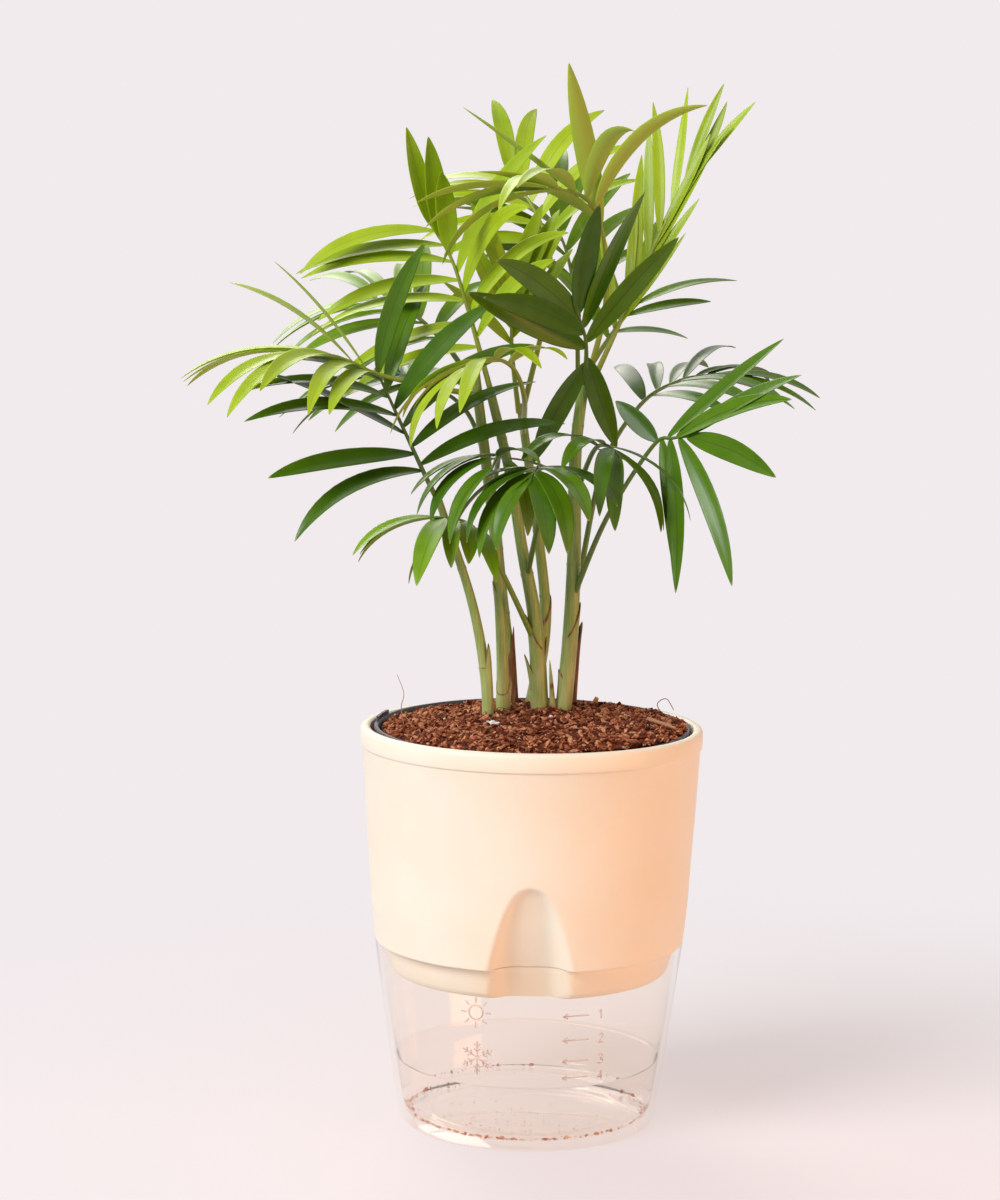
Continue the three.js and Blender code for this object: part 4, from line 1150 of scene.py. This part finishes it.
# %% How each leaf grows
FRONDS = {
    "frond_spear": dict(
        palm="stem_right", blade=1, face=(-0.4, -1, 0.3),
        path=((18, 10, 240), (24, 8, 254), (32, 10, 272), (40, 12, 290), (49, 14, 306)),
        pairs=7, length=42, width=3.6, spread=(20, 10), skew=-6, lift=8, droop=0, tone=0, seed=1,
    ),
    "frond_crown": dict(
        palm="stem_right", blade=2, face=(-0.6, 0, 1),
        path=((16.8, 10.6, 242), (21.5, 3, 265), (20, -4, 288), (14, -12, 299), (2, -22, 302)),
        pairs=5, length=52, width=6, spread=(60, 30), lift=18, droop=65, tone=0.25, seed=2,
        own={
            0: dict(spread=10, lift=35, droop=8, scale=1.05, width=7.5),
            1: dict(spread=30, lift=25, droop=30),
            3: dict(spread=50, lift=60, droop=5),
            9: dict(spread=40, lift=25, droop=30, width=8),
        },
    ),
    "frond_top_back": dict(
        palm="stem_centre_back", blade=2, face=(-0.3, -0.8, 0.6),
        path=((-4.5, 26.5, 228), (3, 31, 262), (4, 33, 281), (-2, 36, 296), (-10, 42, 306)),
        pairs=5, length=42, width=6, spread=(60, 30), lift=10, droop=45, tone=0.15, seed=3,
    ),
    "frond_top_left": dict(
        palm="stem_centre", blade=1, face=(-0.3, -1, 0.3),
        path=((-14, 4, 235), (-18, 3, 249), (-23, 1, 266), (-28, 0, 280), (-35, -1, 291)),
        pairs=7, length=52, width=6, spread=(64, 34), skew=-16, lift=10, droop=42, tone=0.2, seed=4,
        own={
            9: dict(scale=0.62, width=6.5),
            11: dict(scale=0.64, width=7, droop=5),
            13: dict(scale=0.62, width=7, droop=0),
        },
    ),
    "frond_far_left": dict(
        palm="stem_mid_left", blade=2, face=(0.1, -0.1, 1),
        path=((-19, 3, 236), (-34, -6, 239), (-50, -13, 243), (-61, -18, 248), (-74, -24, 250)),
        pairs=5, length=50, width=6.5, spread=(52, 18), lift=5, droop=55, tone=0.2, seed=5,
        own={
            1: dict(spread=36, lift=60, droop=15),
            3: dict(spread=30, lift=50, droop=35),
        },
    ),
    "frond_low_left": dict(
        palm="stem_left", blade=1, face=(0.2, -1, 0.5),
        path=((-30.5, -7, 202), (-35, -9, 211), (-43, -10, 228), (-51, -11, 245)),
        pairs=6, length=52, width=6.5, spread=(85, 28), lift=12, droop=40, tone=0.85, seed=6,
        own={
            0: dict(spread=62, droop=62, scale=1),
            2: dict(spread=66, droop=12, width=8, scale=1.02),
            4: dict(spread=38, droop=8),
        },
    ),
    "frond_low_front_left": dict(
        palm="stem_centre", blade=2, face=(0, -0.2, 1),
        path=((1, 10, 155), (-11, -2, 181), (-19, -10, 194), (-25, -16, 198), (-31, -22, 199)),
        pairs=4, length=38, width=6.5, spread=(75, 26), lift=-5, droop=60, tone=0.7, seed=7,
        own={
            2: dict(scale=0.6),
            4: dict(scale=0.7),
            6: dict(spread=34, droop=50, width=8, scale=1),
        },
    ),
    "frond_front": dict(
        palm="stem_centre", blade=2, face=(0, 0, 1),
        path=((-2, 8, 178), (2, -10, 203), (1, -24, 214), (0, -34, 216), (-2, -42, 213)),
        pairs=5, length=35, width=7.5, spread=(84, 20), lift=0, droop=70, tone=0.9, seed=8,
    ),
    "frond_upper_right": dict(
        palm="stem_right", blade=1, face=(0.1, -1, 0.4),
        path=((15, 9.4, 240), (15.5, -1, 246), (15, -8, 255), (12, -14, 264)),
        pairs=4, length=50, width=8, spread=(64, 12), lift=8, droop=12, light=0.1, tone=0.85, seed=9,
        own={
            0: dict(spread=150, lift=10),
            1: dict(spread=165, lift=0, scale=0.8),
        },
    ),
    "frond_right": dict(
        palm="stem_right", blade=2, face=(-0.5, -1, 0.3),
        path=((12, 11, 168), (23, 2, 197), (37, -6, 221), (43, -11, 224), (48, -16, 225)),
        pairs=4, length=52, width=6.8, spread=(105, 8), lift=5, droop=14, light=0.2, tone=0.75, seed=10,
        own={
            0: dict(scale=0.4),
            2: dict(spread=48),
            4: dict(spread=18, droop=20),
            5: dict(spread=48, droop=45, scale=1.05),
        },
    ),
    "frond_right_back": dict(
        palm="stem_right_back", blade=2, face=(0, -0.2, 1),
        path=((14.5, 28.6, 170), (22, 22, 211), (34, 24, 232), (47, 28, 240), (59, 32, 242)),
        pairs=6, length=42, width=5.5, spread=(66, 20), lift=12, droop=42, tone=0.95, seed=11,
    ),
    "frond_mid_left": dict(
        palm="stem_centre_back", blade=2, face=(-0.3, 0, 1),
        path=((-4, 26, 222), (-4, -4, 236), (-8, -14, 246), (-16, -24, 249), (-24, -30, 245)),
        pairs=4, length=38, width=6, spread=(70, 26), lift=8, droop=60, tone=0.15, seed=12,
    ),
    "frond_mid_upright": dict(
        palm="stem_centre_back", blade=1, face=(0, -1, 0.2),
        path=((-5.5, 25.5, 229), (-8, 19, 250), (-8, 18, 270)),
        pairs=4, length=36, width=6, spread=(36, 12), lift=10, droop=10, tone=0.2, seed=13,
    ),
    "frond_back_left": dict(
        palm="stem_mid_left_back", blade=2, face=(0, -0.3, 1),
        path=((-12, 28, 196), (-21, 34, 226), (-35, 42, 237), (-46, 50, 240)),
        pairs=5, length=46, width=6, spread=(66, 26), lift=5, droop=50, tone=0.9, seed=14,
    ),
    "frond_back_right": dict(
        palm="stem_right_back", blade=2, face=(0.3, -1, 0.3),
        path=((13.5, 29.4, 174), (14, 35, 230), (13, 40, 262), (10, 46, 280), (5, 52, 292)),
        pairs=5, length=44, width=6, spread=(56, 24), lift=10, droop=40, tone=0.4, seed=15,
    ),
    "frond_front_right": dict(
        palm="stem_right", blade=1, face=(0.2, 0, 1),
        path=((13, 10, 203), (18, -8, 219), (22, -18, 222), (26, -26, 219)),
        pairs=4, length=36, width=6, spread=(75, 26), lift=0, droop=70, tone=0.8, seed=17,
    ),
    "frond_mid_right": dict(
        palm="stem_right", blade=1, face=(-0.2, -1, 0.6),
        path=((16.5, 11.4, 244), (22, 18, 252), (28, 24, 260), (34, 28, 266)),
        pairs=3, length=42, width=6, spread=(60, 22), lift=10, droop=25, tone=0.45, seed=18,
        own={
            1: dict(scale=0.6),
            3: dict(scale=0.7),
        },
    ),
    "frond_mid_back": dict(
        palm="stem_mid_left", blade=1, face=(0, -0.6, 1),
        path=((-20.5, 3.4, 240), (-30, 16, 252), (-42, 24, 262), (-54, 30, 266)),
        pairs=5, length=46, width=6, spread=(66, 24), lift=8, droop=45, tone=0.45, seed=19,
    ),
    "frond_centre_low": dict(
        palm="stem_mid_left", blade=1, face=(0, -0.2, 1),
        path=((-13.6, 7, 204), (-12, -10, 216), (-12, -22, 219), (-14, -32, 215)),
        pairs=4, length=36, width=6.5, spread=(80, 28), lift=2, droop=65, tone=0.85, seed=20,
    ),
}

# %% [markdown]
# ### One leaflet
# Nearly two hundred leaflets are needed, so the one that is copied stays light: a closed blade of a few dozen
# faces, made from an eight-sided bar that is cut across into eight lengths. Each copy is then laid along
# its own bent line. Eight stations give the outline from the narrow foot over the broad middle to the
# drawn-out tip, and a subdivision smooths it at the end.

# %% The leaflet that is copied
OUTLINE = (
    (0, 0.2), (0.06, 0.44), (0.17, 0.78), (0.32, 0.97), (0.5, 1),
    (0.66, 0.89), (0.81, 0.65), (0.92, 0.34), (1, 0.04),
)
STATIONS = [u for u, _ in OUTLINE]
RIM_POINTS = 8
MIDRIB = 0.42           # thickness at the midrib
EDGE_ROOM = 1.14        # extra width for what the subdivision draws in
bpy.ops.object.select_all(action="DESELECT")
bpy.ops.mesh.primitive_cylinder_add(
    vertices=RIM_POINTS, radius=1, depth=1, location=(0, 0, 0.5), end_fill_type="NGON",
)
bud = bpy.context.object
bpy.ops.object.transform_apply(location=True)
bpy.ops.object.mode_set(mode="EDIT")
for u in STATIONS[1:-1]:
    bpy.ops.mesh.select_all(action="SELECT")
    bpy.ops.mesh.bisect(plane_co=(0, 0, u), plane_no=(0, 0, 1))
bpy.ops.object.mode_set(mode="OBJECT")
bud_turn = [math.atan2(v.co.y, v.co.x) for v in bud.data.vertices]
bud_station = [min(range(len(STATIONS)), key=lambda k: abs(STATIONS[k] - v.co.z)) for v in bud.data.vertices]
print("leaflet:", len(bud.data.polygons), "faces,", len(bud.data.vertices), "points")


# %% Bending a leaflet
DOWN = Vector((0, 0, -1))


def leaflet_line(start, heading, across, length, droop, sway, twist):
    """The centre, direction and width direction of a leaflet at each station, bent by its weight."""
    along, side = heading.normalized(), across.normalized()
    rows = [(start, along.copy(), side.copy())]
    for u0, u1 in zip(STATIONS, STATIONS[1:]):
        stride, middle = u1 - u0, (u0 + u1) / 2
        hinge = along.cross(DOWN)
        if hinge.length > 1e-3:
            bend = min(math.radians(droop) * (0.4 + 1.2 * middle) * stride, along.angle(DOWN) / 2)
            turn = Matrix.Rotation(bend, 3, hinge.normalized())
            along, side = turn @ along, turn @ side
        drift = Matrix.Rotation(math.radians(sway) * stride * 2 * middle, 3, side.cross(along).normalized())
        roll_over = Matrix.Rotation(math.radians(twist) * stride, 3, along)
        along, side = (drift @ along).normalized(), (roll_over @ drift @ side).normalized()
        rows.append((rows[-1][0] + along * length * stride, along.copy(), side.copy()))
    return rows


def leaflet_points(rows, width, fold):
    """Where each point of the copied leaflet goes, in metres."""
    placed = []
    for turn, station in zip(bud_turn, bud_station):
        centre, along, side = rows[station]
        upward = side.cross(along).normalized()
        reach, lift = math.cos(turn), math.sin(turn)
        half = width / 2 * EDGE_ROOM * OUTLINE[station][1]
        body = MIDRIB / 2 * lift * (0.45 + 0.55 * OUTLINE[station][1])
        gutter = fold * half * (abs(reach) - 0.35)
        placed.append((centre + side * reach * half + upward * (body + gutter)) * MM)
    return placed

# %% [markdown]
# ### Growing a leaf
# A leaf is grown from its foot to its tip. Each leaflet is first bent as it would hang by itself. If it
# then cuts into a stem, a stalk or a leaflet that is already there, it is lifted, lowered or shortened
# a little and tried again, as a real leaflet gives way to its neighbours. Overlaps are looked for with a
# BVH tree, which holds a mesh's faces sorted by place. The leaflets of a leaf are joined, smoothed and
# joined to their stalk.

# %% Growing leaves
PETIOLE_RADIUS = 1.0
RACHIS_TIP_RADIUS = 0.38
TOWARDS_SKY = 0.6
# lift and droop in degrees to add, and share of the length to keep
WAYS_ROUND = (
    (0, 0, 1), (8, 0, 1), (-8, 0, 1), (15, 8, 1), (-15, 8, 1), (4, 25, 1),
    (24, 0, 0.95), (-24, 0, 0.95), (10, -20, 0.9), (-10, 35, 0.9),
    (34, 10, 0.85), (-34, 10, 0.85), (0, 60, 0.8), (45, 0, 0.75), (-45, 0, 0.75),
)


def box_of(points):
    return [(min(p[k] for p in points), max(p[k] for p in points)) for k in range(3)]


def obstacle(points, faces):
    return BVHTree.FromPolygons(points, faces), box_of(points)


def mesh_obstacle(piece):
    return obstacle([v.co.copy() for v in piece.data.vertices],
                    [tuple(f.vertices) for f in piece.data.polygons])


def is_clear(shape, others):
    tree, box = shape
    for other, room in others:
        apart = any(a[0] > b[1] or b[0] > a[1] for a, b in zip(box, room))
        if not apart and tree.overlap(other):
            return False
    return True


def leaflet_habit(leaf, n, along):
    """How leaflet n of a leaf grows: its angles, its size and its bends."""
    side = 1 if n % 2 else -1
    chance = lambda salt: scatter(leaf["seed"], n + salt)
    wide, narrow = leaf["spread"]
    share = 0.74 + 0.26 * math.sin(math.pi * (0.12 + 0.8 * along))
    habit = {
        "spread": wide + (narrow - wide) * along + leaf.get("skew", 0) * side + 6 * chance(0),
        "lift": leaf["lift"] + 7 * chance(50),
        "droop": leaf["droop"] * (1 + 0.15 * chance(100)),
        "scale": share * (1 + 0.07 * chance(150)),
        "width": leaf["width"] * (1 + 0.1 * chance(200)),
        "light": leaf.get("light", TOWARDS_SKY),
        "sway": 13 * chance(250),
        "twist": 26 * chance(300),
    }
    habit.update(leaf.get("own", {}).get(n, {}))
    return habit


def grow_leaflet(leaf, n, others):
    """The points of leaflet n, clear of the others, or None if there is no room for it."""
    line = [Vector(p) for p in leaf["path"]]
    side = 1 if n % 2 else -1
    along = (n // 2 + 0.5 + 0.18 * side) / leaf["pairs"]
    blade_start = leaf["blade"] / (len(line) - 1)
    share = min(1, blade_start + (1 - blade_start) * along)
    forward = direction(line, share)
    face = Vector(leaf["face"]).normalized()
    up = (face - forward * face.dot(forward)).normalized()
    out = forward.cross(up) * side
    habit = leaflet_habit(leaf, n, along)
    upper = up * (1 - habit["light"]) + Vector((0, 0, habit["light"]))
    spread = math.radians(habit["spread"])
    for lifted, bent, kept in WAYS_ROUND:
        raised = math.radians(habit["lift"] + lifted)
        aside = out * math.cos(raised) + up * math.sin(raised)
        heading = forward * math.cos(spread) + aside * math.sin(spread)
        across = heading.cross(upper).normalized()
        rows = leaflet_line(smooth_point(line, share), heading, across, leaf["length"] * habit["scale"] * kept,
                            habit["droop"] + bent, habit["sway"], habit["twist"])
        points = leaflet_points(rows, habit["width"], 0.3 + 0.1 * scatter(leaf["seed"], n + 350))
        shape = obstacle(points, bud_faces)
        if is_clear(shape, others):
            return points, shape
    return None, None


def make_leaflet(points, tint):
    made = bud.copy()
    made.data = bud.data.copy()
    bpy.context.collection.objects.link(made)
    for vertex, co in zip(made.data.vertices, points):
        vertex.co = co
    set_tint(made, tint)
    return made


bud_faces = [tuple(f.vertices) for f in bud.data.polygons]
set_tint(bud, [math.cos(t) for t in bud_turn], "across")
set_tint(bud, [STATIONS[k] for k in bud_station], "along")
set_tint(bud, [0.5 - 0.5 * math.sin(t) for t in bud_turn], "under")


def stalk_radius(share):
    return PETIOLE_RADIUS + (RACHIS_TIP_RADIUS - PETIOLE_RADIUS) * share


stalks = {}
for name, leaf in FRONDS.items():
    line = [Vector(p) for p in leaf["path"]]
    stalks[name] = strand(name + "_stalk", line, stalk_radius, 9 * (len(line) - 1), 2)
print("stalks:", len(stalks))

# %% All the leaves
stem_obstacles = [mesh_obstacle(bpy.data.objects[name]) for name in STEMS]
stalk_obstacles = {name: mesh_obstacle(made) for name, made in stalks.items()}
placed, leaves = [], {}
for name, leaf in FRONDS.items():
    others = stem_obstacles + [o for n, o in stalk_obstacles.items() if n != name] + placed
    grown, shapes = [], []
    for n in range(2 * leaf["pairs"]):
        points, shape = grow_leaflet(leaf, n, others)
        if points:
            grown.append(make_leaflet(points, 0.5 + 0.5 * scatter(leaf["seed"], n + 400)))
            shapes.append(shape)
    placed += shapes
    blades = join(grown, name)
    smooth = blades.modifiers.new("smooth", "SUBSURF")
    smooth.levels = smooth.render_levels = 1
    bpy.ops.object.modifier_apply(modifier=smooth.name)
    bpy.ops.object.shade_smooth()
    leaves[name] = blades
    print(name, len(grown), "leaflets of", 2 * leaf["pairs"])
bpy.data.objects.remove(bud)

# %% [markdown]
# ### Leaf skin
# A leaflet is a waxy skin over soft green tissue, ribbed lengthwise by its veins, about 0.9 mm apart.
# The ribs draw together towards the tip, so they are counted across the blade with the across attribute
# and not measured in millimetres, and they fade out there. The upper side is glossy and the underside
# paler and dull. Young leaves are thin and lime green and glow when light comes through, old ones are
# thick, dark and shinier. One recipe makes the three finishes from their colours and their gloss.

# %% Leaf finishes
RIBS = 3.5              # ribs from the midrib to the edge


def leaf_finish(name, deep, fresh, rib, underside, gloss, glow):
    """Ribbed waxy leaf skin that reads the leaflet's across, along, under and tint attributes."""
    finish = new_finish(name)
    place = add_node(finish, "TexCoord")
    across = add_node(finish, "Attribute", attribute_name="across")
    along = add_node(finish, "Attribute", attribute_name="along")
    under = add_node(finish, "Attribute", attribute_name="under")
    tint = add_node(finish, "Attribute", attribute_name="tint")
    blotch = add_node(finish, "TexNoise", {
        "Vector": place.outputs["Object"], "Scale": 1 / (7 * MM), "Detail": 3.0,
    })
    tone = add_node(finish, "Math", {0: tint.outputs["Fac"], 1: blotch.outputs["Fac"]}, operation="ADD")
    tone_half = add_node(finish, "Math", {0: tone.outputs[0], 1: 0.5}, operation="MULTIPLY")
    greens = add_node(finish, "ValToRGB", {"Fac": tone_half.outputs[0]}, stops=((0.2, deep), (0.8, fresh)))
    turned_ribs = add_node(finish, "Math", {
        0: across.outputs["Fac"], 1: 2 * math.pi * RIBS,
    }, operation="MULTIPLY")
    wave = add_node(finish, "Math", {0: turned_ribs.outputs[0]}, operation="COSINE")
    even_ribs = add_node(finish, "MapRange", {"Value": wave.outputs[0], "From Min": -1.0, "From Max": 1.0})
    run_out = add_node(finish, "MapRange", {
        "Value": along.outputs["Fac"], "From Min": 0.7, "From Max": 0.95, "To Min": 1.0, "To Max": 0.0,
    })
    ribs = add_node(finish, "Math", {
        0: even_ribs.outputs["Result"], 1: run_out.outputs["Result"],
    }, operation="MULTIPLY")
    distance = add_node(finish, "Math", {0: across.outputs["Fac"]}, operation="ABSOLUTE")
    midrib = add_node(finish, "MapRange", {
        "Value": distance.outputs[0], "From Max": 0.12, "To Min": 1.0, "To Max": 0.0,
    })
    veined = add_node(finish, "Math", {0: ribs.outputs[0], 1: 0.2}, operation="MULTIPLY")
    drawn = add_node(finish, "Math", {0: veined.outputs[0], 1: midrib.outputs["Result"]}, operation="MAXIMUM")
    lined = add_node(finish, "Mix", {
        0: drawn.outputs[0], 6: greens.outputs["Color"], 7: linear(rib),
    }, data_type="RGBA")
    tip = add_node(finish, "MapRange", {"Value": along.outputs["Fac"], "From Min": 0.975, "To Max": 0.7})
    tipped = add_node(finish, "Mix", {
        0: tip.outputs["Result"], 6: lined.outputs[2], 7: linear("#a8994a"),
    }, data_type="RGBA")
    below = add_node(finish, "MapRange", {"Value": under.outputs["Fac"], "From Min": 0.55, "From Max": 0.7})
    sided = add_node(finish, "Mix", {
        0: below.outputs["Result"], 6: tipped.outputs[2], 7: linear(underside),
    }, data_type="RGBA")
    shine = add_node(finish, "MapRange", {"Value": below.outputs["Result"], "To Min": gloss, "To Max": 0.62})
    relief = add_node(finish, "Bump", {"Height": ribs.outputs[0], "Strength": 0.04, "Distance": 0.06 * MM})
    skin = add_node(finish, "BsdfPrincipled", {
        "Base Color": sided.outputs[2], "Roughness": shine.outputs["Result"], "IOR": 1.45,
        "Specular IOR Level": 0.32, "Normal": relief.outputs["Normal"],
        "Subsurface Weight": glow, "Subsurface Scale": 0.6 * MM,
        "Subsurface Radius": (0.7, 1.0, 0.15),
    })
    return show(finish, skin)


LEAF_FINISHES = {
    "leaf_young": leaf_finish(
        "young palm leaf, thin and waxy", "#84a008", "#b0c826", "#95ae1e", "#adc050", 0.34, 0.3,
    ),
    "leaf_grown": leaf_finish(
        "grown palm leaf, waxy", "#5a8409", "#84aa1a", "#618518", "#849c44", 0.31, 0.2,
    ),
    "leaf_old": leaf_finish(
        "old palm leaf, leathery and glossy", "#3c6204", "#5e8610", "#41641a", "#63793a", 0.28, 0.1,
    ),
}
STALK_FINISHES = {
    "leaf_young": stem_skin("young leaf stalk", "#9eac42", "#a2b43c", "#8f9c30", 0.4),
    "leaf_grown": stem_skin("grown leaf stalk", "#84953c", "#7a9430", "#74892c", 0.4),
    "leaf_old": stem_skin("old leaf stalk", "#74863a", "#5f7e28", "#557222", 0.38),
}


def age_slot(tone):
    return "leaf_young" if tone < 0.4 else "leaf_grown" if tone < 0.75 else "leaf_old"


for name, leaf in FRONDS.items():
    slot = age_slot(leaf["tone"])
    leaves[name].data.materials.clear()
    leaves[name].data.materials.append(LEAF_FINISHES[slot])
    stalks[name].data.materials.append(STALK_FINISHES[slot])
    whole = join([leaves[name], stalks[name]], name)
    hand_over(whole, LEAF_FINISHES[slot], slot, name)
